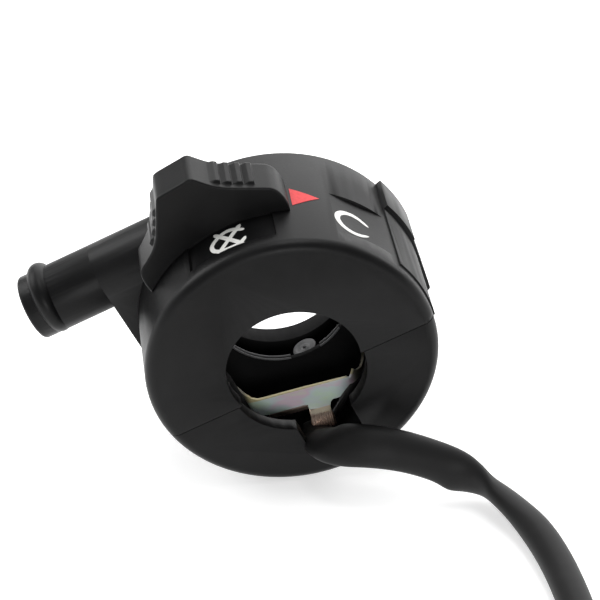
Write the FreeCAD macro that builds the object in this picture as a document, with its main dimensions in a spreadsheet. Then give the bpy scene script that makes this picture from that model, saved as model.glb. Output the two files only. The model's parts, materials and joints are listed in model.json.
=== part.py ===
import FreeCAD, Part
import Sketcher
import math
import os
import re

# Handlebar kill switch housing, in millimetres.
# Frame: origin on the handlebar's axis at the front face, +Y along the bar away
# from the rider's hand side, +Z up. The housing leans about the bar, as it lies.
# Housing pieces are drawn upright, the split plane level, and turned by the lean.

V = FreeCAD.Vector

SIZES = {
    # housing
    "bodyRadius": 24.4,
    "wallThick": 2.4,
    "bodyLength": 28.2,
    "frontWall": 2.6,
    "backWall": 3.8,
    "barRadius": 11.25,
    "tubeRadius": 12.67,
    "splitDrop": 2.9,
    "splitGap": 0.12,
    "leanAngle": 25.0,
    "rimRound": 1.9,
    "backRound": 0.8,
    "lowerLipRadius": 11.5,
    "lowerLipDrop": 1.7,
    # marked panels on the upper shell
    "panelSink": 0.5,
    "offStart": 70.5,
    "offEnd": 106.5,
    "offFront": 3.4,
    "runAngle": 34.0,
    "runHalfAngle": 12.5,
    "runFront": 4.6,
    "runBack": 16.0,
    "runWide": 16.0,
    # raised cheek on the right side
    "cheekRise": 0.3,
    "cheekFront": 3.0,
    "padRise": 1.1,
    "padFront": 19.5,
    "cheekTop": 19.0,
    "cheekEnd": 3.0,
    "padFlat": 25.3,
    "padFoot": 11.1,
    "padFootOut": 23.9,
    # throttle cable guide pipe on the left
    "pipeOuter": 5.7,
    "pipeBore": 3.6,
    "pipeHeight": 17.7,
    "pipeDepth": 22.5,
    "pipeReach": 38.2,
    "pipeSpigot": 4.5,
    "spigotLength": 8.0,
    "beadWire": 1.7,
    "beadRise": 0.6,
    "beadShift": 0.55,
    "beadInset": 3.7,
    "blockSide": 24.5,
    "blockWidth": 11.0,
    "cableHole": 3.0,
    "fitGap": 0.05,
    # kill knob and its slide
    "knobLead": 5.1,
    "travel": 16.5,
    # its heights are measured from its foot, knobSink inside the drum's skin
    "knobFront": 9.65,
    "knobThick": 7.0,
    "knobSink": 4.0,
    "knobTop": 14.5,
    "knobTopHalf": 3.3,
    "knobEdge": 0.7,
    "flankHalf": 4.8,
    "flankTop": 12.2,
    "flankRadius": 13.0,
    "shoulderHalf": 13.0,
    "shoulderTop": 5.7,
    "tipHalf": 13.9,
    "tipTop": 2.2,
    "knobGap": 0.25,
    "neckWide": 4.2,
    "neckLong": 3.8,
    "neckClear": 0.45,
    "gripRadius": 0.5,
    "gripPitch": 1.95,
    "carrierThick": 1.5,
    "carrierHalf": 22.0,
    "carrierLong": 10.0,
    "slideGap": 0.4,
    # knob screw
    "knobScrewRadius": 1.1,
    "knobScrewLong": 9.0,
    "knobHeadRadius": 1.9,
    "knobHeadThick": 1.3,
    # contacts
    "baseInner": 13.4,
    "baseThick": 1.6,
    "baseFront": 6.5,
    "baseLong": 12.5,
    "baseStart": 44.0,
    "baseEnd": 146.0,
    "lugTurn": 45.0,
    "lugReach": 2.5,  # out from the board
    "lugRadius": 2.4,
    "lugThick": 2.0,
    "lugWeb": 3.0,
    "stripThick": 0.5,
    "stripWide": 3.2,
    "liveFront": 10.2,
    "earthFront": 14.6,
    "liveEnd": 116.0,
    "earthStart": 79.5,
    "rivetRadius": 0.8,
    "rivetHead": 1.2,
    "headThick": 0.4,
    "bridgeTurn": 13.0,
    "bridgeHalf": 7.0,
    "bridgeThick": 0.7,
    "bridgeGap": 0.15,
    "bridgePin": 0.6,
    "springWire": 0.2,
    "springRadius": 1.05,
    "springClear": 0.25,
    # detent
    "detentTurn": 11.0,
    "detentReach": 3.4,  # in from the shell's bore
    "ballRadius": 1.2,
    "ballSink": 0.3,
    "detentGap": 0.2,
    "barrelRadius": 2.1,
    "barrelLong": 8.0,
    "barrelGap": 0.6,
    "barrelClear": 0.4,
    "detentSpringRadius": 0.9,
    "detentSpringLong": 5.0,
    # screws of the housing
    "caseScrewOut": 16.4,
    "caseScrewDepth": 8.8,
    "caseScrewRadius": 2.0,
    "caseHeadRadius": 3.4,
    "caseHeadThick": 2.4,
    "caseSeatDrop": 9.5,
    "caseScrewLong": 14.0,
    "postRadius": 3.7,
    "postTop": 7.0,
    "insertRadius": 2.7,
    "insertLong": 6.5,
    "screwGap": 0.1,
    "slotWide": 0.9,
    "slotDeep": 0.9,
    # bracket that clamps the wire sleeve
    "bracketTurn": 13.4,
    "bracketFront": 9.0,
    "bracketThick": 1.0,
    "bracketTop": 11.6,
    "bracketTall": 4.5,
    "bracketLeft": 8.2,
    "bracketRight": 8.3,
    "tabLeft": 0.4,
    "tabWide": 4.0,
    "tabDrop": 1.9,
    "tongueTip": 1.9,
    "legTall": 2.0,
    # lower shell's inside
    "ribFront": 18.0,
    "ribThick": 0.9,
    "ribRadius": 11.85,
    "ribDrop": 0.1,
    "bossRadius": 2.25,
    "bossDepth": 21.6,
    "bossOut": 1.0,
    "bossTop": 13.2,
    "notchRadius": 5.0,
    "notchDrop": 15.8,
    # wires
    "sleeveRadius": 2.8,
    "leadRadius": 0.75,
    "tailRadius": 1.0,
    "coilPitch": 6.1,
    "coilLift": 0.7,
    "tieThick": 0.7,
    "tieWide": 5.0,
    "bootRadius": 2.3,
    "bootLong": 14.0,
    "bulletRadius": 1.9,
    "bulletLong": 7.0,
}

doc = FreeCAD.newDocument("kill_switch")
sheet = doc.addObject("Spreadsheet::Sheet", "Sizes")
for row, (alias, number) in enumerate(SIZES.items(), start=1):
    sheet.set("A%d" % row, alias)
    sheet.set("B%d" % row, str(number))
    sheet.setAlias("B%d" % row, alias)
doc.recompute()


def size(alias):
    """The number that the sheet holds under this name."""
    return float(getattr(sheet, alias))


def cells(text):
    """The expression with each size's name written as its cell."""
    return re.sub(r"[A-Za-z_]\w*",
                  lambda word: "Sizes." + word[0] if word[0] in SIZES else word[0], text)


def number_of(text):
    """What an expression of sizes comes to now."""
    found = sheet.evalExpression(cells(text))
    return float(getattr(found, "Value", found))


def bind(solid, **expressions):
    for name, text in expressions.items():
        solid.setExpression(name, cells(text))
    return solid


def place(solid, x="0", y="0", z="0", turns=()):
    """Bind a placement: a corner or centre, then turns about named axes, outermost first."""
    axes = {"X": "vector(1; 0; 0)", "Y": "vector(0; 1; 0)", "Z": "vector(0; 0; 1)"}
    turned = " * ".join("rotation(%s; %s)" % (axes[axis], angle) for axis, angle in turns)
    turned = turned or "rotation(vector(0; 0; 1); 0)"
    return bind(solid, Placement="placement(vector(%s; %s; %s); %s)" % (x, y, z, turned))


def bar(name, radius, start, length, x="0", z="0"):
    """A round bar along Y."""
    solid = bind(doc.addObject("Part::Cylinder", name), Radius=radius, Height=length)
    return place(solid, x, start, z, [("X", "-90")])


def rod(name, radius, x, y, z, length):
    """A round bar along Z."""
    solid = bind(doc.addObject("Part::Cylinder", name), Radius=radius, Height=length)
    return place(solid, x, y, z)


def spoke(name, radius, angle, y, start, length):
    """A round bar that points out from the bar's axis at an angle from +X."""
    solid = bind(doc.addObject("Part::Cylinder", name), Radius=radius, Height=length)
    return place(solid, "(%s) * cos(%s)" % (start, angle), y, "(%s) * sin(%s)" % (start, angle),
                 [("Y", "90 - (%s)" % angle)])


def block(name, x, y, z, wide, deep, tall, turns=()):
    solid = bind(doc.addObject("Part::Box", name), Length=wide, Width=deep, Height=tall)
    return place(solid, x, y, z, turns)


def fuse(name, *solids):
    joined = doc.addObject("Part::MultiFuse", name)
    joined.Shapes = list(solids)
    joined.Refine = True
    return joined


def common(name, *solids):
    shared = doc.addObject("Part::MultiCommon", name)
    shared.Shapes = list(solids)
    return shared


def cut(name, solid, *tools):
    tool = tools[0] if len(tools) == 1 else fuse(name + "_tools", *tools)
    result = doc.addObject("Part::Cut", name)
    result.Base = solid
    result.Tool = tool
    result.Refine = True
    return result


def sector(name, outer, inner, first, last, start, length):
    """A piece of a ring about Y, between two angles from +X."""
    rings = []
    for part, radius in (("_outer", outer), ("_inner", inner)):
        solid = bind(doc.addObject("Part::Cylinder", name + part), Radius=radius, Height=length)
        if part == "_outer":
            bind(solid, Angle="(%s) - (%s)" % (last, first))
        place(solid, "0", "(%s) + (%s)" % (start, length), "0", [("X", "90"), ("Z", first)])
        rings.append(solid)
    return cut(name, *rings)


def body_of(name):
    return doc.addObject("PartDesign::Body", name)


def sketch_of(body, name, plane, offset="0"):
    """A sketch on one of the body's own origin planes, moved along its normal."""
    sketch = body.newObject("Sketcher::SketchObject", name)
    found = [item for item in body.Origin.OriginFeatures if item.Role == plane][0]
    sketch.AttachmentSupport = [(found, "")]
    sketch.MapMode = "FlatFace"
    sketch.setExpression("AttachmentOffset.Base.z", cells(offset))
    return sketch


def end_at(piece, spot):
    """Which end of a sketch's line or arc lies nearest to a point."""
    return 1 if (piece.StartPoint - spot).Length < (piece.EndPoint - spot).Length else 2


def outline(sketch, points, arcs=None):
    """Close an outline through bound points. arcs gives the middle point of a round side."""
    arcs = arcs or {}
    spots = [V(number_of(x), number_of(y), 0) for x, y in points]
    count = len(points)
    for index in range(count):
        first, last = spots[index], spots[(index + 1) % count]
        if index in arcs:
            radius, centre_x, centre_y = arcs[index]
            centre = V(number_of(centre_x), number_of(centre_y), 0)
            middle = (first + last) * 0.5 - centre
            middle = centre + middle.normalize() * number_of(radius)
            sketch.addGeometry(Part.Arc(first, middle, last), False)
        else:
            sketch.addGeometry(Part.LineSegment(first, last), False)
    for index, (x, y) in enumerate(points):
        start = end_at(sketch.Geometry[index], spots[index])
        for kind, text, value in (("DistanceX", x, spots[index].x), ("DistanceY", y, spots[index].y)):
            held = sketch.addConstraint(Sketcher.Constraint(kind, -1, 1, index, start, value))
            sketch.setExpression("Constraints[%d]" % held, cells(text))
        before = (index - 1) % count
        end = end_at(sketch.Geometry[before], spots[index])
        sketch.addConstraint(Sketcher.Constraint("Coincident", before, end, index, start))
        if index in arcs:
            held = sketch.addConstraint(
                Sketcher.Constraint("Radius", index, sketch.Geometry[index].Radius))
            sketch.setExpression("Constraints[%d]" % held, cells(arcs[index][0]))


def pad_of(body, sketch, name, length, reverse=False):
    pad = body.newObject("PartDesign::Pad", name)
    pad.Profile = sketch
    pad.setExpression("Length", cells(length))
    pad.Reversed = reverse
    return pad


def rounded(name, solid, radius, picked):
    """Round the edges of a solid that picked accepts."""
    doc.recompute()
    edges = [(index + 1, number_of(radius), number_of(radius))
             for index, edge in enumerate(solid.Shape.Edges) if picked(edge)]
    fillet = doc.addObject("Part::Fillet", name)
    fillet.Base = solid
    fillet.Edges = edges
    return fillet


NODES = []


def node(name, solid, turn="0"):
    """Keep a finished piece under its name, turned with the housing."""
    if solid.TypeId in ("PartDesign::Body", "Part::Sphere"):
        holder = doc.addObject("Part::Compound", name + "_piece")
        holder.Links = [solid]
        solid = holder
    solid.Label = name
    place(solid, turns=[("Y", "-(leanAngle + %s)" % turn)])
    NODES.append(solid)
    return solid


def loose(name, shape):
    """Keep a shape that is drawn in the object's own frame."""
    piece = doc.addObject("Part::Feature", name)
    piece.Shape = shape
    piece.Label = name
    NODES.append(piece)
    return piece


# housing shells

def drum(name):
    """The round body before it is hollowed, its two rims rounded."""
    whole = bar(name + "_drum", "bodyRadius", "0", "bodyLength")
    front = rounded(name + "_front_rim", whole, "rimRound",
                    lambda edge: edge.Closed and edge.BoundBox.YMax < 0.01)
    return rounded(name + "_back_rim", front, "backRound",
                   lambda edge: edge.Closed and edge.BoundBox.YMin > size("bodyLength") - 0.01)


def cheek(name):
    """The raised right side: a shallow cheek, and a higher pad at the far end."""
    low = sector(name + "_low", "bodyRadius + cheekRise", "bodyRadius - 1",
                 "-cheekEnd - asin(splitDrop / bodyRadius) / 1deg", "cheekTop",
                 "cheekFront", "bodyLength - backRound - cheekFront")
    high = sector(name + "_high", "bodyRadius + padRise", "bodyRadius - 1",
                  "-1", "cheekTop", "padFront", "bodyLength - backRound - padFront")
    flat = body_of(name + "_flat")
    flat_sketch = sketch_of(flat, name + "_flat_sketch", "XZ_Plane", "-padFront")
    outline(flat_sketch, [("bodyRadius - 6", "0"), ("padFlat", "0"),
                          ("padFootOut", "-padFoot"), ("bodyRadius - 6", "-padFoot - 3")])
    pad_of(flat, flat_sketch, name + "_flat_pad", "bodyLength - backRound - padFront", True)
    return [low, high, flat]


def half_space(name, upper):
    """A block over the whole width, above or below the split plane."""
    if upper:
        return block(name, "-80", "-5", "splitGap / 2 - splitDrop", "160", "bodyLength + 10", "80")
    return block(name, "-80", "-5", "-splitGap / 2 - splitDrop - 80", "160", "bodyLength + 10", "80")


def hollow(name):
    return bar(name, "bodyRadius - wallThick", "frontWall", "bodyLength - frontWall - backWall")


def lug_place(sign):
    """Where a screw of the contact board stands, left or right of the bar."""
    reach = "(baseInner + baseThick + lugReach)"
    return sign + reach + " * cos(lugTurn)", reach + " * sin(lugTurn)"


slot_half = "(asin((neckWide / 2 + neckClear) / (bodyRadius - wallThick)) / 1deg)"
knob_mid = "90 + knobLead"
detent_reach = "(bodyRadius - wallThick - detentReach)"

upper_parts = [drum("upper")] + cheek("upper_cheek")
upper_parts.append(block("cable_block", "-blockSide", "pipeDepth - blockWidth / 2", "0",
                         "blockSide", "blockWidth", "pipeHeight"))
upper_parts.append(place(bind(doc.addObject("Part::Cylinder", "pipe_collar"),
                              Radius="pipeOuter", Height="blockSide - 6"),
                         "-6", "pipeDepth", "pipeHeight", [("Y", "-90")]))
upper_skin = fuse("upper_skin", *upper_parts)
webs = [block("post_web_" + side, x, "caseScrewDepth - postRadius / 2", "-splitDrop",
              "bodyRadius - caseScrewOut", "postRadius", "splitDrop + postTop")
        for side, x in (("left", "-bodyRadius"), ("right", "caseScrewOut"))]
upper_inside = cut("upper_inside", hollow("upper_hollow"), *webs,
                   rod("post_left", "postRadius", "-caseScrewOut", "caseScrewDepth",
                       "-splitDrop", "splitDrop + postTop"),
                   rod("post_right", "postRadius", "caseScrewOut", "caseScrewDepth",
                       "-splitDrop", "splitDrop + postTop"),
                   bar("lug_post_left", "lugRadius", "frontWall", "baseFront - frontWall",
                       *lug_place("-")),
                   bar("lug_post_right", "lugRadius", "frontWall", "baseFront - frontWall",
                       *lug_place("")))
detent_y = "frontWall - ballSink + ballRadius"
upper_tools = [
    upper_inside,
    bar("upper_bar_hole", "barRadius", "-1", "frontWall + 2"),
    bar("upper_tube_hole", "tubeRadius", "bodyLength - backWall - 1", "backWall + 2"),
    sector("knob_slot", "bodyRadius + 2", "bodyRadius - wallThick - 1",
           knob_mid + " - travel - " + slot_half, knob_mid + " + " + slot_half,
           "knobFront + knobThick / 2 - neckLong / 2 - neckClear", "neckLong + 2 * neckClear"),
    sector("off_panel", "bodyRadius + 1", "bodyRadius - panelSink", "offStart", "offEnd",
           "offFront", "knobFront + 0.5 - offFront"),
    block("run_panel",
          "bodyRadius * cos(runHalfAngle) * cos(runAngle) - runWide / 2 * sin(runAngle)", "runFront",
          "bodyRadius * cos(runHalfAngle) * sin(runAngle) + runWide / 2 * cos(runAngle)",
          "runWide", "runBack - runFront", "6", [("Y", "90 - runAngle")]),
]
upper_tools.append(place(bind(doc.addObject("Part::Cylinder", "pipe_socket"),
                              Radius="pipeSpigot + fitGap", Height="spigotLength + 5"),
                         "spigotLength - blockSide", "pipeDepth", "pipeHeight", [("Y", "-90")]))
upper_tools.append(place(bind(doc.addObject("Part::Cylinder", "cable_way"),
                              Radius="cableHole", Height="blockSide"),
                         "-6", "pipeDepth", "pipeHeight", [("Y", "-90")]))
for side, sign in (("left", "-"), ("right", "")):
    upper_tools.append(rod("insert_hole_" + side, "insertRadius", sign + "caseScrewOut",
                           "caseScrewDepth", "-splitDrop - 1", "insertLong + 1.2"))
    upper_tools.append(rod("screw_end_" + side, "caseScrewRadius + screwGap",
                           sign + "caseScrewOut", "caseScrewDepth", "-splitDrop - 1",
                           "caseScrewLong - caseSeatDrop + splitDrop + 1.5"))
    upper_tools.append(bar("lug_hole_" + side, "knobScrewRadius", "frontWall + 0.4",
                           "baseFront", *lug_place(sign)))
upper_tools.append(sector("detent_track", detent_reach + " + 1.6", detent_reach + " - 1.6",
                          knob_mid + " + detentTurn - travel - 5",
                          knob_mid + " + detentTurn + 5",
                          "frontWall - ballSink - detentGap", "ballSink + detentGap + 0.5"))
for stop, shift in (("off", "0"), ("run", "travel")):
    dimple = bind(doc.addObject("Part::Sphere", "dimple_" + stop), Radius="ballRadius + detentGap")
    angle = "(%s + detentTurn - %s)" % (knob_mid, shift)
    upper_tools.append(place(dimple, detent_reach + " * cos" + angle, detent_y + " - 0.2",
                             detent_reach + " * sin" + angle))
upper_shell = cut("upper_cut", common("upper_half", upper_skin, half_space("above_split", True)),
                  *upper_tools)
node("upper_shell", upper_shell)

lower_skin = fuse("lower_skin", drum("lower"), *cheek("lower_cheek"))
lower_rib = cut("lower_rib", bar("rib_disc", "bodyRadius - wallThick + 0.5", "ribFront", "ribThick"),
                bar("rib_bore", "ribRadius", "ribFront - 1", "ribThick + 2", "0", "-ribDrop"))
seat_left, seat_foot = "(bracketLeft + 0.4)", "(bracketTop + bracketTall + 6.1)"
lower_inside = cut("lower_inside", hollow("lower_hollow"), lower_rib,
                   rod("bracket_boss", "bossRadius", "-bossOut", "bossDepth",
                       "-bodyRadius", "bodyRadius - bossTop"),
                   rod("lower_post_left", "postRadius + 0.6", "-caseScrewOut", "caseScrewDepth",
                       "-bodyRadius", "bodyRadius"),
                   rod("lower_post_right", "postRadius + 0.6", "caseScrewOut", "caseScrewDepth",
                       "-bodyRadius", "bodyRadius"),
                   block("leg_seat",
                         "-%s * cos(bracketTurn) - %s * sin(bracketTurn)" % (seat_left, seat_foot),
                         "bracketFront + bracketThick + 0.2",
                         "%s * sin(bracketTurn) - %s * cos(bracketTurn)" % (seat_left, seat_foot),
                         "1.8", "4.4", "6", [("Y", "bracketTurn")]))
lower_tools = [
    lower_inside,
    bar("lower_bar_hole", "barRadius", "-1", "frontWall + 2"),
    bar("lower_lip", "lowerLipRadius", "-1", "frontWall + 2", "0", "-lowerLipDrop"),
    bar("lower_tube_hole", "tubeRadius", "bodyLength - backWall - 1", "backWall + 2"),
    bar("notch_round", "notchRadius", "-1", "frontWall + 2", "0", "-notchDrop"),
    block("notch_sides", "-notchRadius", "-1", "-notchDrop", "2 * notchRadius",
          "frontWall + 2", "notchDrop - 8"),
]
for side, sign in (("left", "-"), ("right", "")):
    lower_tools.append(rod("screw_way_" + side, "caseScrewRadius + screwGap",
                           sign + "caseScrewOut", "caseScrewDepth", "-bodyRadius",
                           "bodyRadius"))
    lower_tools.append(rod("head_way_" + side, "caseHeadRadius + screwGap + 0.1",
                           sign + "caseScrewOut", "caseScrewDepth", "-bodyRadius - 5",
                           "bodyRadius + 5 - caseSeatDrop"))
lower_shell = cut("lower_cut", common("lower_half", lower_skin, half_space("below_split", False)),
                  *lower_tools)
node("lower_shell", lower_shell)


# throttle cable guide pipe

def along_left(name, radius, start, length):
    """A round bar along -X on the pipe's axis."""
    solid = bind(doc.addObject("Part::Cylinder", name), Radius=radius, Height=length)
    return place(solid, start, "pipeDepth", "pipeHeight", [("Y", "-90")])


bead = bind(doc.addObject("Part::Torus", "pipe_bead"),
            Radius1="pipeOuter + beadRise - beadWire", Radius2="beadWire")
place(bead, "beadInset - pipeReach", "pipeDepth", "pipeHeight + beadShift", [("Y", "-90")])
pipe = cut("pipe_cut",
           fuse("pipe_solid",
                along_left("pipe_tube", "pipeOuter", "-blockSide", "pipeReach - blockSide"),
                along_left("pipe_spigot", "pipeSpigot", "spigotLength - 0.1 - blockSide",
                           "spigotLength"), bead),
           along_left("pipe_hole", "pipeBore", "10 - blockSide", "pipeReach"))
pipe_smooth = rounded("pipe_smooth", pipe, "0.6",
                      lambda edge: edge.Closed and edge.BoundBox.XMax < 0.01 - size("pipeReach")
                      and abs(edge.BoundBox.ZLength - 2 * size("pipeOuter")) < 0.01)
node("cable_guide_pipe", pipe_smooth)


# kill knob: drawn with its own middle line upright

knob_body = body_of("knob_body")
knob_sketch = sketch_of(knob_body, "knob_sketch", "XZ_Plane", "-knobFront")
under = "(bodyRadius + knobGap)"
under_half = "tipHalf * 0.955"
under_top = "sqrt(%s * %s - %s * %s)" % (under, under, under_half, under_half)
flank_wide = "sqrt(pow(shoulderHalf - flankHalf; 2) + pow(flankTop - shoulderTop; 2))"
flank_deep = "sqrt(pow(flankRadius; 2) - pow(%s / 2; 2))" % flank_wide
flank_slope = "%s / %s" % (flank_deep, flank_wide)
knob_foot = "(bodyRadius - knobSink)"
top_z, flank_top, shoulder_top, tip_top = (
    knob_foot + " + " + height for height in ("knobTop", "flankTop", "shoulderTop", "tipTop"))
flank_x = "((flankHalf + shoulderHalf) / 2 + (flankTop - shoulderTop) * %s)" % flank_slope
flank_z = ("(%s + (flankTop + shoulderTop) / 2 + (shoulderHalf - flankHalf) * %s)"
           % (knob_foot, flank_slope))
outline(knob_sketch,
        [("knobTopHalf", top_z), ("flankHalf", flank_top), ("shoulderHalf", shoulder_top),
         ("tipHalf", tip_top), (under_half, under_top), ("-" + under_half, under_top),
         ("-tipHalf", tip_top), ("-shoulderHalf", shoulder_top),
         ("-flankHalf", flank_top), ("-knobTopHalf", top_z)],
        {1: ("flankRadius", flank_x, flank_z), 4: (under, "0", "0"),
         7: ("flankRadius", "-" + flank_x, flank_z)})
pad_of(knob_body, knob_sketch, "knob_pad", "knobThick", True)


def on_front(edge):
    """Edges of the knob's front face, but not of its underside."""
    box = edge.BoundBox
    return box.YMax < size("knobFront") + 0.01 and box.XLength < size("tipHalf") * 1.5


knob_round = rounded("knob_round", knob_body, "knobEdge", on_front)
grips = []
for side in (-1, 1):
    for step in range(4):
        # spaced along the round flank, by angle about its centre
        turn = ("(atan2(%s - %s; shoulderHalf - %s) - %.1f * gripPitch / flankRadius * 57.3deg)"
                % (shoulder_top, flank_z, flank_x, step + 1.4))
        grip_x = "%d * (%s + flankRadius * cos(%s))" % (side, flank_x, turn)
        grip_z = "%s + flankRadius * sin(%s)" % (flank_z, turn)
        grips.append(bar("grip_%s_%d" % ("left" if side < 0 else "right", step), "gripRadius",
                         "knobFront + knobEdge + 0.25", "knobThick", grip_x, grip_z))
carrier_outer = "(bodyRadius - wallThick - slideGap)"
knob_y = "knobFront + knobThick / 2"
neck = cut("neck", block("neck_block", "-neckWide / 2", knob_y + " - neckLong / 2",
                         carrier_outer + " - 1", "neckWide", "neckLong", "5"),
           bar("neck_foot", carrier_outer + " + fitGap", "0", "bodyLength"))
knob = cut("knob_cut", fuse("knob_solid", knob_round, neck), *grips,
           rod("knob_screw_hole", "knobScrewRadius + fitGap", "0", knob_y, carrier_outer + " - 2",
               "knobScrewLong - carrierThick + 2.6"))
node("kill_knob", knob, "knobLead")


# slide carrier, with the barrel for the detent and the cup for the contact spring

carrier_front = "(%s - carrierLong / 2)" % knob_y
cup_turn, barrel_turn = "(90 - bridgeTurn)", "(90 + detentTurn)"
bridge_inner = "(baseInner + baseThick + stripThick + bridgeGap)"
bridge_y = "(liveFront + earthFront + stripWide) / 2"
cup_foot = "(%s + bridgeThick + 1.5)" % bridge_inner
plate_inner = "(%s - carrierThick)" % carrier_outer
detent_x = detent_reach + " * cos" + barrel_turn
detent_z = detent_reach + " * sin" + barrel_turn
barrel_front = "frontWall + barrelGap"
strips_top = "baseInner + baseThick + stripThick + headThick + barrelClear"
barrel = common("detent_barrel",
                bar("barrel_tube", "barrelRadius", barrel_front, "barrelLong", detent_x, detent_z),
                sector("barrel_room", carrier_outer, strips_top, "90 - carrierHalf",
                       "90 + carrierHalf", "0", "bodyLength"))
carrier = cut("carrier_cut",
              fuse("carrier_solid",
                   sector("carrier_plate", carrier_outer, plate_inner, "90 - carrierHalf",
                          "90 + carrierHalf", carrier_front, "carrierLong"),
                   barrel,
                   spoke("spring_cup", "springRadius + springClear + 0.8", cup_turn, bridge_y,
                         cup_foot, "%s + 0.4 - %s" % (plate_inner, cup_foot))),
              bar("barrel_bore", "ballRadius + 0.1", barrel_front + " - 1",
                  "2 * ballRadius - ballSink - barrelGap + detentSpringLong + 1", detent_x, detent_z),
              spoke("cup_bore", "springRadius + springClear", cup_turn, bridge_y, cup_foot + " - 1",
                    "%s - %s + 1.1" % (plate_inner, cup_foot)),
              rod("carrier_screw_hole", "knobScrewRadius + fitGap", "0", knob_y,
                  plate_inner + " - 2", "6"))
node("slide_carrier", carrier, "knobLead")

screw_head_z = "(%s - 0.2 - knobHeadThick)" % plate_inner
knob_screw = cut("knob_screw_cut",
                 fuse("knob_screw_solid",
                      rod("knob_screw_head", "knobHeadRadius", "0", knob_y, screw_head_z,
                          "knobHeadThick"),
                      rod("knob_screw_shank", "knobScrewRadius", "0", knob_y,
                          screw_head_z + " + knobHeadThick / 2", "knobScrewLong - knobHeadThick / 2")),
                 block("knob_screw_slot", "-slotWide / 4 - knobHeadRadius", knob_y + " - slotWide / 3",
                       screw_head_z + " - 0.5", "3 * knobHeadRadius", "slotWide / 1.5", "1"))
node("knob_screw", knob_screw, "knobLead")

bridge = fuse("bridge_solid",
              sector("bridge_plate", bridge_inner + " + bridgeThick", bridge_inner,
                     cup_turn + " - bridgeHalf", cup_turn + " + bridgeHalf", "liveFront",
                     "earthFront + stripWide - liveFront"),
              spoke("bridge_pin", "bridgePin", cup_turn, bridge_y, bridge_inner + " + 0.3",
                    "bridgeThick + 1"))
node("contact_bridge", bridge, "knobLead")

detent_ball = bind(doc.addObject("Part::Sphere", "detent_ball_solid"), Radius="ballRadius")
place(detent_ball, detent_x, detent_y, detent_z)
node("detent_ball", detent_ball, "knobLead")


def biarcs(points, tangents):
    """Pairs of arcs through points, tangent to the given directions."""
    arcs = []
    for first, last, start, end in zip(points, points[1:], tangents, tangents[1:]):
        chord = last - first
        total = start + end
        bend = 2 * (1 - start.dot(end))
        along = chord.dot(total)
        if bend < 1e-9:
            reach = chord.dot(chord) / (2 * along)
        else:
            reach = (math.sqrt(along * along + bend * chord.dot(chord)) - along) / bend
        corner_a, corner_b = first + start * reach, last - end * reach
        joint = (corner_a + corner_b) * 0.5
        for one, corner, two in ((first, corner_a, joint), (joint, corner_b, last)):
            width = (two - one).Length
            weight = width / (2 * (corner - one).Length)
            if weight > 0.9999999:
                arcs.append(Part.LineSegment(one, two))
                continue
            middle = (one + corner * (2 * weight) + two) * (1 / (2 + 2 * weight))
            arcs.append(Part.Arc(one, middle, two))
    return arcs


def swept(arcs, radius):
    """A round tube along arcs and lines that join smoothly."""
    wire = Part.Wire([arc.toShape() for arc in arcs])
    first = arcs[0]
    start = first.value(first.FirstParameter)
    heading = first.tangent(first.FirstParameter)[0]
    ring = Part.Wire([Part.Circle(start, V(*heading), radius).toShape()])
    return wire.makePipeShell([ring], True, False)


def spring_shape(length, radius, turns):
    """A coil spring along Z from the origin, in quarter turns."""
    points, tangents = [], []
    wire = size("springWire")
    rise = (length - 2 * wire) / turns
    steepness = rise / (2 * math.pi * radius)
    for step in range(int(turns * 4) + 1):
        angle = step * math.pi / 2
        points.append(V(radius * math.cos(angle), radius * math.sin(angle), wire + rise * step / 4))
        heading = V(-math.sin(angle), math.cos(angle), steepness)
        heading.normalize()
        tangents.append(heading)
    return swept(biarcs(points, tangents), wire)


def set_in(shape, base, turns):
    """Turn a shape about named axes, outermost first, and move it to its base."""
    turned = FreeCAD.Rotation()
    for axis, angle in turns:
        turned = turned.multiply(FreeCAD.Rotation(axis, angle))
    copy = shape.copy()
    copy.Placement = FreeCAD.Placement(base, turned)
    return copy


lean_knob = -(size("leanAngle") + size("knobLead"))
cup = number_of(cup_turn)
spring_from = number_of(bridge_inner + " + bridgeThick + 0.05")
spring_to = number_of(plate_inner + " - 0.05")
upright = V(0, 1, 0)
at_cup = FreeCAD.Rotation(upright, lean_knob).multVec(
    V(spring_from * math.cos(math.radians(cup)), number_of(bridge_y),
      spring_from * math.sin(math.radians(cup))))
loose("bridge_spring", set_in(spring_shape(spring_to - spring_from, size("springRadius"), 5),
                              at_cup, [(upright, lean_knob + 90 - cup)]))
spring_start = number_of(detent_y + " + ballRadius + 0.05")
at_barrel = FreeCAD.Rotation(upright, lean_knob).multVec(
    V(number_of(detent_x), spring_start, number_of(detent_z)))
loose("detent_spring", set_in(spring_shape(size("detentSpringLong") - 0.3,
                                           size("detentSpringRadius"), 6),
                              at_barrel, [(V(1, 0, 0), -90)]))


# contact base, strips and rivets

base_outer = "(baseInner + baseThick)"
strip_outer = "(%s + stripThick)" % base_outer
live_mid, earth_mid = "liveFront + stripWide / 2", "earthFront + stripWide / 2"
RIVETS = [("live_near", "baseStart + 8.5", live_mid), ("live_far", "liveEnd - 4.5", live_mid),
          ("earth_near", "earthStart + 20.5", earth_mid), ("earth_far", "baseEnd - 11.5", earth_mid)]


def rivet_holes(name, wanted):
    return [spoke("%s_%s" % (name, which), "rivetRadius + fitGap", angle, y, "baseInner - 1",
                  "baseThick + stripThick + 2") for which, angle, y in RIVETS if wanted in which]


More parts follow.
